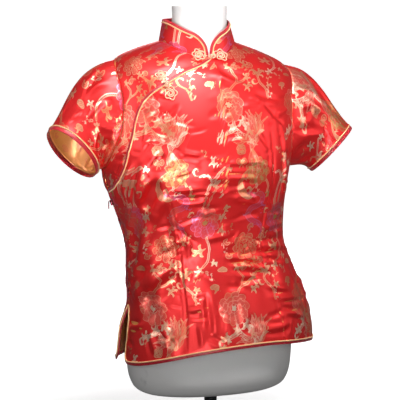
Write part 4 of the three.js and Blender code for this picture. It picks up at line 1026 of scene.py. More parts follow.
def brocade_material(name, ground, deep, reverse=False):
    """Satin ground with woven figures: fills where the fill field is below 0, lines that fade out
    where an outlined stroke's field is 0.3 to 0.85 mm from 0, and a thin veil of thread inside
    outlines. The fields are in mm and the map in metres."""
    tree, shader = new_material(name, 0.34, spec=0.8, aniso=0.3)
    n = Nodes(tree)
    fill = n.value("fill")
    place = n.uv((1, 1, 1))
    spread = n.add("ShaderNodeSeparateXYZ", {0: place})
    slanted = n.math("ADD", spread.outputs[1], n.math("MULTIPLY", spread.outputs[0], 0.45))
    hatch = n.math("SINE", n.math("MULTIPLY", slanted, 2 * math.pi / HATCH))
    threads = n.between(n.noise(n.uv((1500, 260, 1)), 1.0, 1.0), 0.35, 0.65, 0, 1)
    edge = n.between(fill, -0.3, 0.3, 1, 0)
    core = n.math("MULTIPLY", n.between(fill, -1.5, -0.9, 1, 0), n.between(hatch, -0.1, 0.5, 1, 0))
    filled = n.math("MULTIPLY", n.math("SUBTRACT", edge, n.math("MULTIPLY", core, 0.55)), 0.95)
    line_a = n.between(n.math("ABSOLUTE", n.value("lineA")), 0.3, 0.85, 0.82, 0)
    line_b = n.between(n.math("ABSOLUTE", n.value("lineB")), 0.3, 0.85, 0.82, 0)
    lines = n.math("MAXIMUM", line_a, line_b)
    inside = n.between(n.math("MINIMUM", n.value("lineA"), n.value("lineB")), -0.6, 0.2, 1, 0)
    veil = n.math("MULTIPLY", inside, n.math("MULTIPLY", n.between(hatch, -0.2, 0.6, 0.35, 1), 0.34))
    thready = n.math("ADD", 0.78, n.math("MULTIPLY", threads, 0.22))
    solid = n.math("MULTIPLY", n.math("MAXIMUM", filled, lines), thready)
    figure = n.math("MAXIMUM", solid, veil, clamp=True)
    cloth = n.mix(n.noise(n.uv((9, 9, 9)), 1.0, 3.0), (*ground, 1), (*deep, 1))
    cloth = n.mix(n.math("MULTIPLY", n.noise(n.uv((2200, 90, 1)), 1.0, 1.0), 0.35), cloth, (*deep, 1))
    if reverse:
        base = n.mix(n.math("MULTIPLY", figure, 0.75), cloth, (0.70, 0.10, 0.04, 1))
        n.put(shader.inputs["Metallic"], n.math("SUBTRACT", 0.35, n.math("MULTIPLY", figure, 0.35)))
    else:
        dull = n.between(n.noise(n.uv((17, 13, 1)), 1.0, 2.0), 0.42, 0.62, 0, 0.75)
        gold = n.mix(dull, n.color("tint"), (0.52, 0.20, 0.07, 1))
        base = n.mix(figure, cloth, gold)
        n.put(shader.inputs["Metallic"], n.between(figure, 0, 1, 0.58, 0.88))
        n.put(shader.inputs["Roughness"], n.between(figure, 0, 1, 0.41, 0.40))
    n.put(shader.inputs["Base Color"], base)
    weave = n.math("ADD", n.math("MULTIPLY", threads, 0.4), n.math("MULTIPLY", figure, 1.0))
    grain = n.noise(n.uv((900, 900, 1)), 1.0, 2.0)
    height = n.math("ADD", weave, n.math("MULTIPLY", grain, 0.5))
    n.put(shader.inputs["Normal"], n.bump(height, 0.35, 0.00012))
    return MATERIALS[name]


def thread_material(name, slot_color, dark, twist, rough=0.42, sheen=0.3):
    """Plain satin or cord: colour bands along the thread with a slanted twist."""
    tree, shader = new_material(name, rough, sheen=sheen)
    n = Nodes(tree)
    settings = {"Vector": n.uv(twist), "Scale": 1.0, "Distortion": 0.6, "Detail": 1.0}
    bands = n.add("ShaderNodeTexWave", settings, wave_type="BANDS", bands_direction="DIAGONAL")
    wave = bands.outputs["Fac"]
    shade = n.noise(n.uv((60, 60, 1)), 1.0, 2.0)
    tone = n.mix(n.math("MULTIPLY", wave, 0.6), (*slot_color, 1), (*dark, 1))
    n.put(shader.inputs["Base Color"], n.mix(n.math("MULTIPLY", shade, 0.25), tone, (*dark, 1)))
    n.put(shader.inputs["Normal"], n.bump(wave, 0.35, 0.0002))
    return MATERIALS[name]


def form_material():
    """Smooth moulded shell: off-white, faint grain, and darker patches low down, below the hem, strongest at
    the bottom of the form.
    """
    tree, shader = new_material("form", 0.5, spec=0.35)
    n = Nodes(tree)
    place = n.add("ShaderNodeTexCoord").outputs["Object"]
    speckle = n.noise(place, 55.0, 4.0)
    # Darker patches, only low down below the hem and strongest at the bottom of the form
    dark_patches = n.between(n.noise(place, 14.0, 6.0), 0.66, 0.74)
    low = n.between(n.add("ShaderNodeSeparateXYZ", {0: place}).outputs[2], 0.17, 0.24, 1, 0)
    low_dark_patches = n.math("MULTIPLY", n.math("MULTIPLY", dark_patches, low), 0.55)
    base = n.mix(n.math("MULTIPLY", speckle, 0.12), (0.70, 0.69, 0.68, 1), (0.60, 0.59, 0.58, 1))
    n.put(shader.inputs["Base Color"], n.mix(low_dark_patches, base, (0.25, 0.24, 0.24, 1)))
    n.put(shader.inputs["Roughness"], n.between(speckle, 0.3, 0.7, 0.42, 0.55))
    n.put(shader.inputs["Normal"], n.bump(n.noise(place, 320.0, 2.0), 0.08, 0.0004))


def metal_material(name, color, rough, metal, scale=120.0):
    """Painted metal or moulded plastic: one colour, a darker grain and an uneven shine."""
    tree, shader = new_material(name, rough, metal)
    n = Nodes(tree)
    place = n.add("ShaderNodeTexCoord").outputs["Object"]
    grain = n.noise(place, scale, 4.0)
    darker = [c * 0.6 for c in color]
    n.put(shader.inputs["Base Color"], n.mix(n.math("MULTIPLY", grain, 0.5), (*color, 1), (*darker, 1)))
    n.put(shader.inputs["Roughness"], n.between(grain, 0.2, 0.8, rough - 0.06, rough + 0.08))
    n.put(shader.inputs["Normal"], n.bump(grain, 0.1, 0.0002))


brocade_material("brocade", (0.84, 0.02, 0.019), (0.64, 0.009, 0.01))
brocade_material("reverse", (0.85, 0.38, 0.10), (0.75, 0.24, 0.06), reverse=True)
thread_material("satin", (0.46, 0.008, 0.018), (0.30, 0.005, 0.012), (500, 120, 1), 0.36, 0.1)
thread_material("piping", (0.86, 0.56, 0.26), (0.62, 0.34, 0.12), (900, 900, 1))
thread_material("cord", (1.0, 0.66, 0.42), (0.20, 0.03, 0.02), (520, 700, 1), 0.42)
thread_material("tape", (0.30, 0.01, 0.025), (0.2, 0.006, 0.015), (900, 900, 1))
form_material()
metal_material("zip", (0.34, 0.02, 0.05), 0.35, 0.3)
metal_material("black_metal", (0.022, 0.022, 0.024), 0.42, 0.25, 60.0)


# Cloth pieces
chart_brocade()


def axis(*parts):
    """Joined even steps: (start, end, count) parts as one increasing list."""
    found = [np.linspace(a, b, count + 1)[(1 if k else 0):] for k, (a, b, count) in enumerate(parts)]
    return np.concatenate(found)


def edge_distance(p, side):
    """Distance of each grid point from one border, along the grid."""
    q = p if side in ("u0", "v0") else (p[::-1] if side == "u1" else p[:, ::-1])
    ax = 0 if side[0] == "u" else 1
    steps = np.linalg.norm(np.diff(q, axis=ax), axis=-1)
    zero = np.zeros_like(np.take(steps, [0], ax))
    d = np.cumsum(np.concatenate([zero, steps], ax), ax)
    return d if side in ("u0", "v0") else (d[::-1] if side == "u1" else d[:, ::-1])


def seam(p, normals, side, where, phase):
    """Sinks a border into a seam where it is sewn, with small puckers that die out away from it."""
    d = edge_distance(p, side)
    line = p[0] if side == "u0" else p[-1] if side == "u1" else p[:, 0] if side == "v0" else p[:, -1]
    along = reach_along(line)
    along = along[None, :] if side[0] == "u" else along[:, None]
    wave = np.sin(along / 2.05 + phase + 1.6 * np.sin(along / 31 + phase)) * (0.6 + 0.4 * np.sin(along / 17))
    lift = -SEAM_DIP * np.exp(-((d / SEAM_HALF) ** 2)) + SEAM_RIPPLE * wave * np.exp(-d / 8) * smooth(d / 3)
    lift = lift * (where[None, :] if side[0] == "u" else where[:, None])
    return p + normals * lift[..., None]


def flat_uv(p, row, front):
    """Where a point of the body lies on the flat cut: across by horizontal reach from the
    centre, up by height, and over the shoulders by how far the cloth runs back."""
    w = smooth((11.6 - row) / 3.0)
    d = np.diff(p, axis=0)
    wm = (w[1:] + w[:-1]) / 2
    steps = np.sqrt(d[..., 0] ** 2 + wm * d[..., 1] ** 2)
    x = np.concatenate([np.zeros((1, p.shape[1])), np.cumsum(steps, 0)])
    mid = np.argmin(np.abs(p[..., 0] + 6) + 1e3 * ((p[..., 1] > 40) == front), axis=0)
    x = x - x[mid, np.arange(p.shape[1])][None]
    y0 = p[mid, np.arange(p.shape[1]), 1][None]
    y = p[..., 2] + (1 - w) * np.abs(p[..., 1] - y0) * 0.9
    return np.stack([x, y], -1)


def oriented(p, normals):
    """The grid's own normals, turned to the side that the given ones point to."""
    n = grid_normals(p, False)
    return n if np.mean(np.sum(n * normals, -1)) > 0 else -n


u = axis((-1, 0, 130), (0, 1, 130))
share = axis((-1, 0, 36), (0, 1, 228))
front_row, front_turn = front_key(*np.meshgrid(u, share, indexing="ij"))
front_p = cloth_point(front_row, front_turn)
front_n = ring_normal(TORSO, front_row, front_turn)
above_slit = smooth(share / 0.02)
FRONT_EDGES = {"p": front_p.copy(), "n": front_n}
front_p = seam(front_p, front_n, "u0", above_slit, phase=1.0)
front_p = seam(front_p, front_n, "u1", above_slit, phase=2.0)
front = cloth_sheet("front", front_p, oriented(front_p, front_n), flat_uv(front_p, front_row, True))

u = axis((0, 1, 170))
v = axis((0, 1, 76))
row, turn, in_row, in_turn = under_key(*np.meshgrid(u, v, indexing="ij"))
under_p = under_point(row, turn, in_row, in_turn)
under_n = ring_normal(TORSO, row, turn)
under_p[..., 2] += 3.2 * smooth((turn + 16) / 8) * smooth((row - 12.55) / 0.4)
under_p = seam(under_p, under_n, "v1", smooth((u - 0.21) / 0.02), phase=3.0)
under_uv = np.stack([turn * TURN_MM * mix(0.75, 1, smooth((12.5 - row) / 3)), under_p[..., 2]
                     + np.maximum(0, under_p[..., 1] + 40) * 0.6], -1) + np.array(LAID_AT["underlap"])
underlap = cloth_sheet("front_underlap", under_p, oriented(under_p, under_n), under_uv)

u = axis((-1, 1, 216))
share = axis((-1, 0, 32), (0, 1, 208))
back_row, back_turn = back_key(*np.meshgrid(u, share, indexing="ij"))
back_p = cloth_point(back_row, back_turn)
back_n = ring_normal(TORSO, back_row, back_turn)
above_slit = smooth(share / 0.02)
BACK_EDGES = {"p": back_p.copy(), "n": back_n}
back_p = seam(back_p, back_n, "u0", above_slit, phase=4.0)
back_p = seam(back_p, back_n, "u1", above_slit, phase=5.0)
back = cloth_sheet("back", back_p, oriented(back_p, back_n), flat_uv(back_p, back_row, False)
                   + np.array(LAID_AT["back"]))


def make_sleeve(side, name):
    """A sleeve on a grid of turns round the arm and shares from the armhole to the cuff."""
    hole = armhole(side)
    around, share = np.meshgrid(axis((0, 1, 180))[:-1], axis((0, 1, 56)), indexing="ij")
    p, foot = sleeve_point(side, hole, around, share)
    n = grid_normals(p, True)
    core = np.array([side * 175, 40, 690.0])
    k = np.clip((np.abs(p[..., 0:1]) - 150) / 120, 0, 1)
    outward = p - mix(core, np.array(SLEEVES[side]["cuff"], float), k)
    n = n if np.mean(np.sum(n * outward, -1)) > 0 else -n
    lift = np.zeros(around.shape)
    for a0, w0, a1, w1, wide, depth, bow in zip(*SLEEVE_CREASES[side].values()):
        near = around - np.round(around - (a0 + a1) / 2)
        lift += SLEEVE_RELIEF * crease(near * ARM_ROUND, share * ARM_LONG, a0 * ARM_ROUND, w0 * ARM_LONG,
                                       a1 * ARM_ROUND, w1 * ARM_LONG, wide, depth, bow)
    along = reach_along(p[:, 0])[:, None]
    d = edge_distance(p, "v0")
    lift += (-SEAM_DIP * np.exp(-((d / SEAM_HALF) ** 2))
             + 0.6 * np.sin(along / 1.9) * np.exp(-d / 7) * smooth(d / 3))
    p = p + n * (lift * smooth((1 - share) / 0.08) * mix(smooth(share / 0.05), 1, 0.25))[..., None]
    normals = grid_normals(p, True)
    normals = normals if np.mean(np.sum(normals * outward, -1)) > 0 else -normals
    normals[:, 0] = foot[:, 0]
    across, up = LAID_AT[side]
    uv = np.stack([(around - 0.5) * ARM_ROUND + across, 90 - share * ARM_LONG + up], -1)
    return p, normals, cloth_sheet(name, p, normals, uv, wrap=True)


SLEEVE_EDGES = {-1: make_sleeve(-1, "sleeve_right"), 1: make_sleeve(1, "sleeve_left")}

turn, rise = np.meshgrid(axis((COLLAR_END, 360 - COLLAR_END, 220)), axis((0, 1, 18)), indexing="ij")
wrapped = np.where(turn > 180, turn - 360, turn)
collar_p = collar_point(wrapped, collar_top(wrapped) * rise)
collar_n = grid_normals(collar_p, False)
outward = collar_p - np.array([TORSO["x"][-1], TORSO["y"][-1], 0])
outward[..., 2] = 0
collar_n = collar_n if np.mean(np.sum(collar_n * outward, -1)) > 0 else -collar_n
wobble = 0.35 * np.sin(np.radians(wrapped) * 9 + 1) + 0.25 * np.sin(np.radians(wrapped) * 17)
collar_p = collar_p + collar_n * (wobble * rise * (1 - rise) * 2)[..., None]
collar_uv = np.stack([wrapped * 1.3 + LAID_AT["collar"][0],
                      collar_top(wrapped) * rise + LAID_AT["collar"][1]], -1)
collar = cloth_sheet("collar", collar_p, collar_n, collar_uv)


# Bindings and pipings
def bind_outline(width):
    """A folded bias strip: flat faces that round over at the free edge."""
    swell = 0.35
    back_face = -WALL - swell
    return np.array([
        [PROUD, back_face], [PROUD, swell - 0.2], [PROUD + 0.6, swell + 0.1], [width * 0.4, swell + 0.15],
        [width * 0.7, swell + 0.05], [width - 0.8, swell - 0.25], [width - 0.2, -0.25],
        [width, -WALL / 2], [width - 0.2, -WALL + 0.25], [width - 0.8, back_face + 0.25],
        [width * 0.6, back_face - 0.05],
    ])


def trim(name, p, normals, inner, width, closed=False, taper=None):
    """Binding and piping along a border. inner is the next grid line, which shows the way in."""
    _, n, out = frames_along(p, normals, closed)
    flip = np.sum(out * (p - inner), -1, keepdims=True) < 0
    out = np.where(flip, -out, out)
    for _ in range(3):
        blend = (np.roll(out, 1, 0) + out * 2 + np.roll(out, -1, 0)) / 4
        if not closed:
            blend[0], blend[-1] = out[0], out[-1]
        out = unit(blend)
    length = reach_along(p)
    ripple = 0.22 * np.sin(length / 2.3 + 2 * np.sin(length / 23)) + 0.2 * np.sin(length / 7.1)
    wavy = p + n * ripple[:, None] * 0.6
    widths = np.ones(len(p)) if taper is None else taper
    strip("binding_" + name, wavy, n, out, bind_outline(width), closed, "binding_" + name,
          MATERIALS["satin"], widths)
    cord = p + out * 0.15 + n * 1.05
    tube("piping_" + name, cord, n, 1.2, "piping_" + name, MATERIALS["piping"],
         sides=8, closed=closed)


def border(edges, path, inner):
    """Points and normals along a border of a grid, and the points of the line within it."""
    def picked(key, where):
        return np.array([edges[key][i, j] for i, j in where])

    return picked("p", path), picked("n", path), picked("p", inner)


def hem_trim(name, edges, slit):
    """The hem's trim starts narrow just below the top of one slit and ends so at the other."""
    last = edges["p"].shape[0] - 1
    down, across, up = range(slit - 1, 0, -1), range(last + 1), range(1, slit)
    path = [(0, j) for j in down] + [(i, 0) for i in across] + [(last, j) for j in up]
    inner = [(1, j) for j in down] + [(min(last - 1, max(1, i)), 1) for i in across]
    inner += [(last - 1, j) for j in up]
    p, n, near = border(edges, path, inner)
    length = reach_along(p)
    taper = np.minimum(smooth(length / 14), smooth((length[-1] - length) / 14)) * 0.75 + 0.25
    trim(name, p, n, near, BIND_WIDTH, taper=taper)


hem_trim("hem_front", FRONT_EDGES, 36)
hem_trim("hem_back", BACK_EDGES, 32)
top = FRONT_EDGES["p"].shape[1] - 1
cols = range(130, -1, -1)
p, n, near = border(FRONT_EDGES, [(i, top) for i in cols], [(i, top - 1) for i in cols])
length = reach_along(p)
keep = (length > 1) & (length < length[-1] - 1)
taper = 0.08 + 0.92 * smooth(length / 12)
trim("opening", p[keep], n[keep], near[keep], BIND_WIDTH, taper=taper[keep])
last, top = collar_p.shape[0] - 1, collar_p.shape[1] - 1
up, across, down = range(top), range(last + 1), range(top - 1, -1, -1)
path = [(0, j) for j in up] + [(i, top) for i in across] + [(last, j) for j in down]
inner = [(1, j) for j in up] + [(min(last - 1, max(1, i)), top - 1) for i in across]
inner += [(last - 1, j) for j in down]
p, n, near = border({"p": collar_p, "n": collar_n}, path, inner)
trim("collar", p, n, near, BIND_WIDTH)
for side, name in ((-1, "cuff_right"), (1, "cuff_left")):
    sp, sn, _ = SLEEVE_EDGES[side]
    trim(name, sp[:, -1], sn[:, -1], sp[:, -2], CUFF_BIND, closed=True)


# Frogs
PETALS = {"count": 5, "length": 3}
LOOP_RADIUS = KNOT_RADIUS + CORD_RADIUS + 0.75
NECK_FROG = {"turn": 1, "high": 13, "low": 12, "per_turn": 1.31, "per_turn_low": 2.1}
NECK_REACH, NECK_LIFT = {-1: 23, 1: 17.5}, {-1: 1.5, 1: 2.3}
SLANT_FROG = {"turn": -29.4, "row": 9.54, "axis": (-0.37, 0.93), "knot_lift": 6.9, "knot_pull": 1.2}
SLANT_REACH = {-1: 17.6, 1: 25}
FROG_SWELL = 0.84        # share of the cord's radius that shows, so that its turns part
CORD_LIFT = {-1: ([0, 4, 8, 40], [5, 5, 2, 1.7]), 1: ([0, 4, 8, 12, 50], [5, 5, 2.2, -0.4, -0.4])}


def coil_radius(angle):
    """Radius that grows evenly with the angle, with sine petals on the last turn."""
    petal = np.where(angle > 4 * np.pi, np.sin(PETALS["count"] / 2 * angle) ** 2, 0)
    return 1.6 + 2.95 * angle / (2 * np.pi) + PETALS["length"] * petal


def coil_path(reach, tail):
    """A flat coil that winds out in three turns, the last with petals, then runs to the knot."""
    angle = np.linspace(0, 6 * np.pi, 190)
    radius = coil_radius(angle)
    path = np.stack([reach + radius * np.cos(angle + np.pi), radius * np.sin(angle + np.pi)], -1)
    near = reach - coil_radius(6 * np.pi)
    tail = tail[tail[:, 0] < near]
    joined = np.concatenate([path[-1:], tail])
    fine = curve(joined, 8 * len(joined))[1:]
    return np.concatenate([path, fine])


straight_tail = np.array([[LOOP_RADIUS + 2 * CORD_RADIUS + 0.5, 0.0]])
loop_angle = np.radians(-40 + np.arange(9) * 35) + np.pi
loop_tail = np.stack([-LOOP_RADIUS * np.cos(loop_angle), LOOP_RADIUS * np.sin(loop_angle)], -1)


def neck_frog_place(side, path):
    """Path points laid between the collar's face above and the cloth below it."""
    a, b = path[:, 0], path[:, 1]
    turn = NECK_FROG["turn"] + side * a / NECK_FROG["per_turn"]
    high = np.full(len(a), float(NECK_FROG["high"]))
    upper = collar_point(turn, high)
    low_turn = NECK_FROG["turn"] + side * a / NECK_FROG["per_turn_low"]
    lower = cloth_point(np.full(len(a), NECK_ROW - NECK_FROG["low"] / 9), low_turn, fine=False)
    k = (NECK_FROG["high"] - b) / (NECK_FROG["high"] + NECK_FROG["low"])
    p = mix(upper, lower, k[:, None])
    normal = unit(np.cross(collar_point(turn + 1, high) - collar_point(turn - 1, high), upper - lower))
    return p + normal * NECK_LIFT[side], normal


def slant_frog_place(side, path):
    """Path points laid on the cloth along the slanted frog's axis, lifted as CORD_LIFT says."""
    a, b = path[:, 0], path[:, 1]
    turn, row, way = SLANT_FROG["turn"], SLANT_FROG["row"], SLANT_FROG["axis"]

    def place(r, t):
        return cloth_point(np.array([r]), np.array([t]), fine=False)[0]

    per_turn = np.linalg.norm(place(row, turn) - place(row, turn + 1))
    per_row = np.linalg.norm(place(row, turn) - place(row + 0.1, turn)) * 10
    at_turn = turn + side * (a * way[0] - b * way[1]) / per_turn
    at_row = row + side * (a * way[1] + b * way[0]) / per_row
    stops, lifts = CORD_LIFT[side]
    i = np.clip(np.searchsorted(stops, a) - 1, 0, len(stops) - 2)
    stops, lifts = np.array(stops, float), np.array(lifts, float)
    lift = mix(lifts[i], lifts[i + 1], smooth((a - stops[i]) / (stops[i + 1] - stops[i])))
    normal = ring_normal(TORSO, at_row, at_turn)
    return cloth_point(at_row, at_turn) + normal * lift[:, None], normal


def frog(name, reach, tail, place, side):
    """A coil of cord laid on the cloth, slightly uneven in thickness."""
    p, n = place(side, coil_path(reach[side], tail))
    swell = (1 + 0.05 * np.sin(reach_along(p) * 2.6)) * FROG_SWELL
    tube(name, p, n, CORD_RADIUS, name, MATERIALS["cord"], sides=10, swell=swell)


def ball_knot(name, centre, up):
    """A button knot: four turns of cord wound round a ball, each on its own great circle."""
    side = unit(np.cross([0, 0, 1.0], up))
    axes = np.array([side, np.cross(up, side), up])
    strand = 0.9
    ball_radius = KNOT_RADIUS - 0.85
    levels, around = 10, 16
    lat, lon = np.meshgrid(np.linspace(0.06, np.pi - 0.06, levels), np.arange(around) * 2 * np.pi / around,
                           indexing="ij")
    ball = np.stack([np.sin(lat) * np.cos(lon), np.sin(lat) * np.sin(lon), -np.cos(lat)], -1)
    pts = [centre + (ball * (ball_radius + 0.1)).reshape(-1, 3) @ axes]
    ids = np.arange(levels * around).reshape(levels, around)
    beside = np.roll(ids, -1, 1)
    quads = [np.stack([ids[:-1], beside[:-1], beside[1:], ids[1:]], -1).reshape(-1, 4)]
    tris = [(ids[0, 0], ids[0, k + 1], ids[0, k]) for k in range(1, around - 1)]
    tris += [(ids[-1, 0], ids[-1, k], ids[-1, k + 1]) for k in range(1, around - 1)]
    start = ids.size
    stations, sides = 40, 8
    angle = np.arange(stations) * 2 * np.pi / stations
    ring = np.arange(sides) * 2 * np.pi / sides
    for tilt, spin in ((0.5, 0.3), (1.3, 2.3), (1.1, 4.4), (0.9, 1.4)):
        a = np.array([np.cos(spin), np.sin(spin), 0])
        b = np.array([-np.sin(spin) * np.cos(tilt), np.cos(spin) * np.cos(tilt), np.sin(tilt)])
        radial = np.cos(angle)[:, None] * a + np.sin(angle)[:, None] * b
        body = (radial[:, None] * (ball_radius - 0.1 + strand * np.cos(ring))[None, :, None]
                + np.cross(a, b) * (strand * np.sin(ring))[None, :, None])
        pts.append(centre + body.reshape(-1, 3) @ axes)
        ids = start + np.arange(stations * sides).reshape(stations, sides)
        loops = np.concatenate([ids, ids[:1]])
        beside = np.roll(loops, -1, 1)
        quads.append(np.stack([loops[:-1], loops[1:], beside[1:], beside[:-1]], -1).reshape(-1, 4))
        start += ids.size
    points = np.concatenate(pts)
    fixed = []
    for q in quads:
        fixed.append(q if signed_volume(points - centre, q, []) > 0 else q[:, ::-1])
    uv = np.stack([np.arange(len(points)) * 0.7, points[:, 2]], -1)
    make_mesh(name, points, np.concatenate(fixed), tris, uv, "garment", [name],
              [MATERIALS["cord"]])


frog("frog_neck_right", NECK_REACH, straight_tail, neck_frog_place, -1)
frog("frog_neck_left", NECK_REACH, loop_tail, neck_frog_place, 1)
p, n = neck_frog_place(1, np.array([[0.0, 0.0]]))
ball_knot("knot_neck", p[0], n[0])
frog("frog_slant_upper", SLANT_REACH, loop_tail, slant_frog_place, 1)
frog("frog_slant_lower", SLANT_REACH, straight_tail, slant_frog_place, -1)
p, n = slant_frog_place(1, np.array([[-SLANT_FROG["knot_pull"], 0.0]]))
ball_knot("knot_slant", p[0] + n[0] * (SLANT_FROG["knot_lift"] - CORD_LIFT[1][1][0]), n[0])


# Zip in the wearer's right side seam
ZIP = {"top": 5.44, "foot": SLIT_TOP + 0.12, "half": 2.3, "thick": 1.1, "lift": 1.7}
SLIDER = {"half": 3, "thick": 2.4, "length": 9}
PULL = {"half": 2.1, "thick": 1.2, "length": 15, "clear": 0.9}


def seam_stations(row, lift):
    """Points on the right side seam, lifted off the cloth, with their normals and ways across."""
    row = np.asarray(row, float)
    turn = np.full(row.shape, -90.0)
    normal = ring_normal(TORSO, row, turn)
    p = cloth_point(row, turn, fine=False) + normal * lift
    up = unit(cloth_point(row + 0.05, turn, fine=False) - cloth_point(row - 0.05, turn, fine=False))
    return p, normal, np.cross(up, normal)


def bar_outline(half, thick, corner):
    """A flat bar's profile, with its two upper corners cut."""
    return np.array([[-half, 0], [-half, thick - corner], [corner - half, thick], [half - corner, thick],
                     [half, thick - corner], [half, 0]])


def merged(name, parts, node, material, body):
    """Several closed meshes, given as (points, quads, tris), joined in one object."""
    points, quads, tris, start = [], [], [], 0
    for p, q, t in parts:
        q, t = np.asarray(q), [tuple(x) for x in t]
        if signed_volume(p - p.mean(0), q, t) < 0:
            q, t = q[:, ::-1], [x[::-1] for x in t]
        points.append(p)
        quads.append(q + start)
        tris += [tuple(i + start for i in x) for x in t]
        start += len(p)
    points = np.concatenate(points)
    uv = np.stack([points[:, 1] + points[:, 0], points[:, 2]], -1)
    return make_mesh(name, points, np.concatenate(quads), tris, uv, body, [node] if node else [],
                     [material])


def block(centre, axes, halves, bevel=0.25):
    """A bevelled box: three loops of eight corners each, from half sizes along three axes."""
    hx, hy, hz = halves
    ring = [(hx, hy - bevel), (hx - bevel, hy), (bevel - hx, hy), (-hx, hy - bevel),
            (-hx, bevel - hy), (bevel - hx, -hy), (hx - bevel, -hy), (hx, bevel - hy)]
    pts = []
    for z, k in ((-hz, 0.82), (bevel - hz, 1), (hz - bevel, 1), (hz, 0.82)):
        pts += [np.array(centre) + axes[0] * x * k + axes[1] * y * k + axes[2] * z for x, y in ring]
    ids = np.arange(32).reshape(4, 8)
    beside = np.roll(ids, -1, 1)
    quads = np.stack([ids[:-1], beside[:-1], beside[1:], ids[1:]], -1).reshape(-1, 4)
    tris = [(0, k + 1, k) for k in range(1, 7)] + [(24, 24 + k, 25 + k) for k in range(1, 7)]
    return np.array(pts), quads, tris


fine_rows = np.linspace(ZIP["foot"], ZIP["top"], 160)
p, n, out = seam_stations(fine_rows, ZIP["lift"] - 1.2)
strip("zip_tape", p, n, out, bar_outline(ZIP["half"], 0.5, 0.15), False, None, MATERIALS["tape"],
      np.ones(len(p)))
reach = reach_along(p)
teeth = []
for k, at in enumerate(np.arange(1.5, reach[-1] - 3, 2.1)):
    row = np.interp(at, reach, fine_rows)
    q, m, o = seam_stations(np.array([row]), ZIP["lift"] - 0.15)
    side = 0.42 if k % 2 else -0.42
    teeth.append(block(q[0] + o[0] * side, (o[0], np.cross(m[0], o[0]), m[0]), (1.15, 0.62, 0.55), 0.2))
merged("zip_teeth", teeth, "zip_chain", MATERIALS["zip"], "garment")
slider_rows = ZIP["top"] - 0.1 + np.array([-0.5, 0.5]) * SLIDER["length"] / 60
p, n, out = seam_stations(np.linspace(*slider_rows, 9), ZIP["lift"] + ZIP["thick"] + PROUD - 0.9)
pinch = 1 - 0.28 * np.sin(np.linspace(0, np.pi, 9)) ** 2
strip("zip_slider", p, n, out, bar_outline(SLIDER["half"], SLIDER["thick"] + 0.6, 0.9), False,
      "zip_slider", MATERIALS["zip"], pinch)
hinge_lift = ZIP["lift"] + ZIP["thick"] + PROUD + SLIDER["thick"]
hinge, _, _ = seam_stations(np.array([slider_rows[1]]), hinge_lift)
hinge = hinge[0] + np.array([-PULL["clear"], 0, -1.5])


def pull_tab():
    """A long tab with a slot: outer and inner outlines joined front and back by bevels."""
    count = 48
    a = np.arange(count) * 2 * np.pi / count
    half_z = (PULL["length"] + 0.5) / 2
    y = np.sign(np.cos(a)) * np.abs(np.cos(a)) ** 0.7 * PULL["half"]
    z = np.sign(np.sin(a)) * np.abs(np.sin(a)) ** 0.45 * half_z
    y = y * np.interp(z, [-half_z, half_z], [1.0, 0.72])
    yi = np.cos(a) * 0.85
    zi = half_z - 5.2 + np.sin(a) * 2.9
    loops = []
    t = PULL["thick"] / 2
    for ys, zs, x, k in ((y, z, -t, 0.9), (y, z, -t + 0.25, 1), (y, z, t - 0.25, 1), (y, z, t, 0.9)):
        loops.append(np.stack([np.full(count, x), ys * k, zs * (0.985 if k < 1 else 1)], -1))
    for x, k in ((t, 1.12), (t - 0.25, 1.0), (-t + 0.25, 1.0), (-t, 1.12)):
        loops.append(np.stack([np.full(count, x), yi * k, half_z - 5.2 + (zi - half_z + 5.2) * k], -1))
    pts = np.concatenate(loops) + hinge + np.array([0, 0, 0.5 - half_z])
    ids = np.arange(len(loops) * count).reshape(-1, count)
    ids = np.concatenate([ids, ids[:1]])
    beside = np.roll(ids, -1, 1)
    return pts, np.stack([ids[:-1], beside[:-1], beside[1:], ids[1:]], -1).reshape(-1, 4), []


merged("zip_pull", [pull_tab()], "zip_pull", MATERIALS["zip"], "pull")


# Dress form and stand
def lathe(name, rings, node, material):
    """Closed stack of rings with capped ends."""
    count, sides = rings.shape[:2]
    ids = np.arange(count * sides).reshape(count, sides)
    beside = np.roll(ids, -1, 1)
    quads = np.stack([ids[:-1], beside[:-1], beside[1:], ids[1:]], -1).reshape(-1, 4)
    tris = [(0, k + 1, k) for k in range(1, sides - 1)]
    last = (count - 1) * sides
    tris += [(last, last + k, last + k + 1) for k in range(1, sides - 1)]
    points = rings.reshape(-1, 3)
    if signed_volume(points - points.mean(0), quads, tris) < 0:
        quads, tris = quads[:, ::-1], [t[::-1] for t in tris]
    uv = points[:, [0, 2]]
    return make_mesh(name, points, quads, tris, uv, "garment", [node], [material])


form_rows = np.concatenate([np.linspace(0, 3, 24), np.linspace(3, 18.9, 110)[1:], [18.94, 18.98, 19.0]])
rings = ring_point(FORM, *np.meshgrid(form_rows, np.arange(160) * 360 / 160, indexing="ij"))
middle = np.array([-6, 50, 0.0])
lip = []
for shrink, drop in ((0.985, 0.4), (0.95, -0.5), (0.8, -1.2), (0.4, -1.9), (0.05, -2.2)):
    cap = middle + (rings[-1] - middle) * [shrink, shrink, 1]
    cap[:, 2] = rings[-1, :, 2] + drop - 0.4
    lip.append(cap)
foot = []
for shrink in (0.1, 0.6, 0.9):
    foot.append(rings[0] * [shrink, shrink, 1])
lathe("dress_form", np.concatenate([np.array(foot), rings, np.array(lip)]), "dress_form",
      MATERIALS["form"])


def turned(profile, sides):
    """Rings about the upright axis, from (radius, height) pairs."""
    a = np.arange(sides) * 2 * np.pi / sides
    return np.array([np.stack([r * np.cos(a), r * np.sin(a), np.full(sides, z)], -1) for r, z in profile])


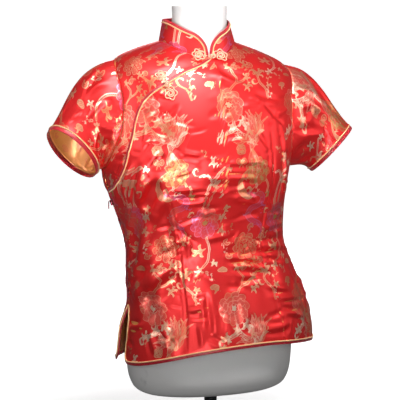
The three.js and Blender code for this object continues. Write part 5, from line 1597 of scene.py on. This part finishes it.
foot_z = FORM["side"][0]
pole = [(POLE_RADIUS - 0.6, BASE_HEIGHT + 0.3), (POLE_RADIUS, BASE_HEIGHT + 1), (POLE_RADIUS, 80),
        (POLE_RADIUS, foot_z - 1), (POLE_RADIUS - 0.6, foot_z - 0.3)]
lathe("stand_pole", turned(pole, 64), "stand_pole", MATERIALS["black_metal"])
plate = [(10, 0), (BASE_RADIUS - 4, 0), (BASE_RADIUS - 1, 0.4), (BASE_RADIUS, 2), (BASE_RADIUS, 6),
         (BASE_RADIUS - 1, 8.6), (BASE_RADIUS - 4, 9.7), (BASE_RADIUS - 12, BASE_HEIGHT), (20, BASE_HEIGHT)]
lathe("stand_base", turned(plate, 128), "stand_base", MATERIALS["black_metal"])


# Camera, light and floor
def camera():
    """The photo's view."""
    turn, rise = math.radians(VIEW_TURN), math.radians(VIEW_RISE)
    backward = Vector((math.sin(turn) * math.cos(rise), -math.cos(turn) * math.cos(rise), math.sin(rise)))
    data = bpy.data.cameras.new("camera")
    obj = bpy.data.objects.new("camera", data)
    bpy.context.scene.collection.objects.link(obj)
    obj.location = Vector((0, 0, VIEW_TARGET / 1000)) + backward * VIEW_DISTANCE / 1000
    obj.rotation_euler = (-backward).to_track_quat("-Z", "Y").to_euler()
    data.sensor_width = 36
    data.lens = data.sensor_width * (VIEW_DISTANCE / PIXEL) / PICTURE
    data.shift_x = -VIEW_SHIFT / PICTURE
    bpy.context.scene.camera = obj


def area_light(name, place, target, size, power, spread=180):
    """A soft box; a smaller spread narrows its beam, as a grid in front of it does."""
    data = bpy.data.lights.new(name, "AREA")
    data.shape, data.size, data.size_y = "RECTANGLE", size[0], size[1]
    data.energy, data.spread = power, math.radians(spread)
    obj = bpy.data.objects.new(name, data)
    bpy.context.scene.collection.objects.link(obj)
    obj.location = place
    obj.rotation_euler = (Vector(target) - Vector(place)).to_track_quat("-Z", "Y").to_euler()


def studio():
    """A pale round floor that curves up into a backdrop all round, and soft boxes."""
    turns = np.linspace(0, 2 * np.pi, 97)[:-1]
    bend = np.linspace(0, np.pi / 2, 12)
    profile = [(0.02, 0.0), (0.6, 0.0), (2.0, 0.0), (7.0, 0.0)]
    profile += [(7 + 2 * math.sin(t), 2 - 2 * math.cos(t)) for t in bend[1:]] + [(9.0, 8.0)]
    pts = [(r * math.cos(t), r * math.sin(t), z - 0.0005) for t in turns for r, z in profile]
    m, count = len(profile), len(turns)
    faces = [(i * m + j, i * m + j + 1, (i + 1) % count * m + j + 1, (i + 1) % count * m + j)
             for i in range(count) for j in range(m - 1)]
    faces.append([i * m for i in range(count)][::-1])
    mesh = bpy.data.meshes.new("backdrop")
    mesh.from_pydata(pts, [], faces)
    mesh.polygons.foreach_set("use_smooth", np.ones(len(faces), bool))
    for name, glow in (("paper", 0.62), ("paper_wall", 0.95)):
        tree, shader = new_material(name, 0.9, spec=0.1)
        n = Nodes(tree)
        grain = n.noise(n.add("ShaderNodeTexCoord").outputs["Object"], 180.0, 2.0)
        n.put(shader.inputs["Base Color"], n.mix(grain, (0.86, 0.86, 0.86, 1), (0.83, 0.83, 0.83, 1)))
        shader.inputs["Emission Color"].default_value = (1, 1, 1, 1)
        shader.inputs["Emission Strength"].default_value = glow
        mesh.materials.append(MATERIALS[name])
    near = [0 if len(f) > 4 or max(math.hypot(*pts[i][:2]) for i in f) < 2.1 else 1 for f in faces]
    mesh.polygons.foreach_set("material_index", near)
    floor = bpy.data.objects.new("backdrop", mesh)
    bpy.context.scene.collection.objects.link(floor)
    floor.visible_diffuse = False
    floor.visible_glossy = False
    floor.visible_shadow = False
    world = bpy.data.worlds.new("world")
    world.use_nodes = True
    world.node_tree.nodes["Background"].inputs[0].default_value = (1, 1, 1, 1)
    world.node_tree.nodes["Background"].inputs[1].default_value = 0.11
    bpy.context.scene.world = world
    bpy.context.scene.view_settings.view_transform = "Standard"
    area_light("key", (-0.7, -2.7, 0.3), (0, 0, 0.72), (0.7, 0.55), 1.9, 22)
    area_light("side", (-2.3, -0.9, 1.5), (0, 0, 0.85), (0.7, 0.8), 1.2, 44)
    area_light("fill", (2.2, -1.6, 1.4), (0, 0, 0.85), (0.8, 0.8), 1.0, 44)
    area_light("top", (0, -0.95, 2.4), (0, 0, 0.4), (0.7, 0.5), 56)
    area_light("back", (0.7, 2.7, 1.0), (0, 0, 0.5), (1.1, 1.1), 26)


camera()
studio()
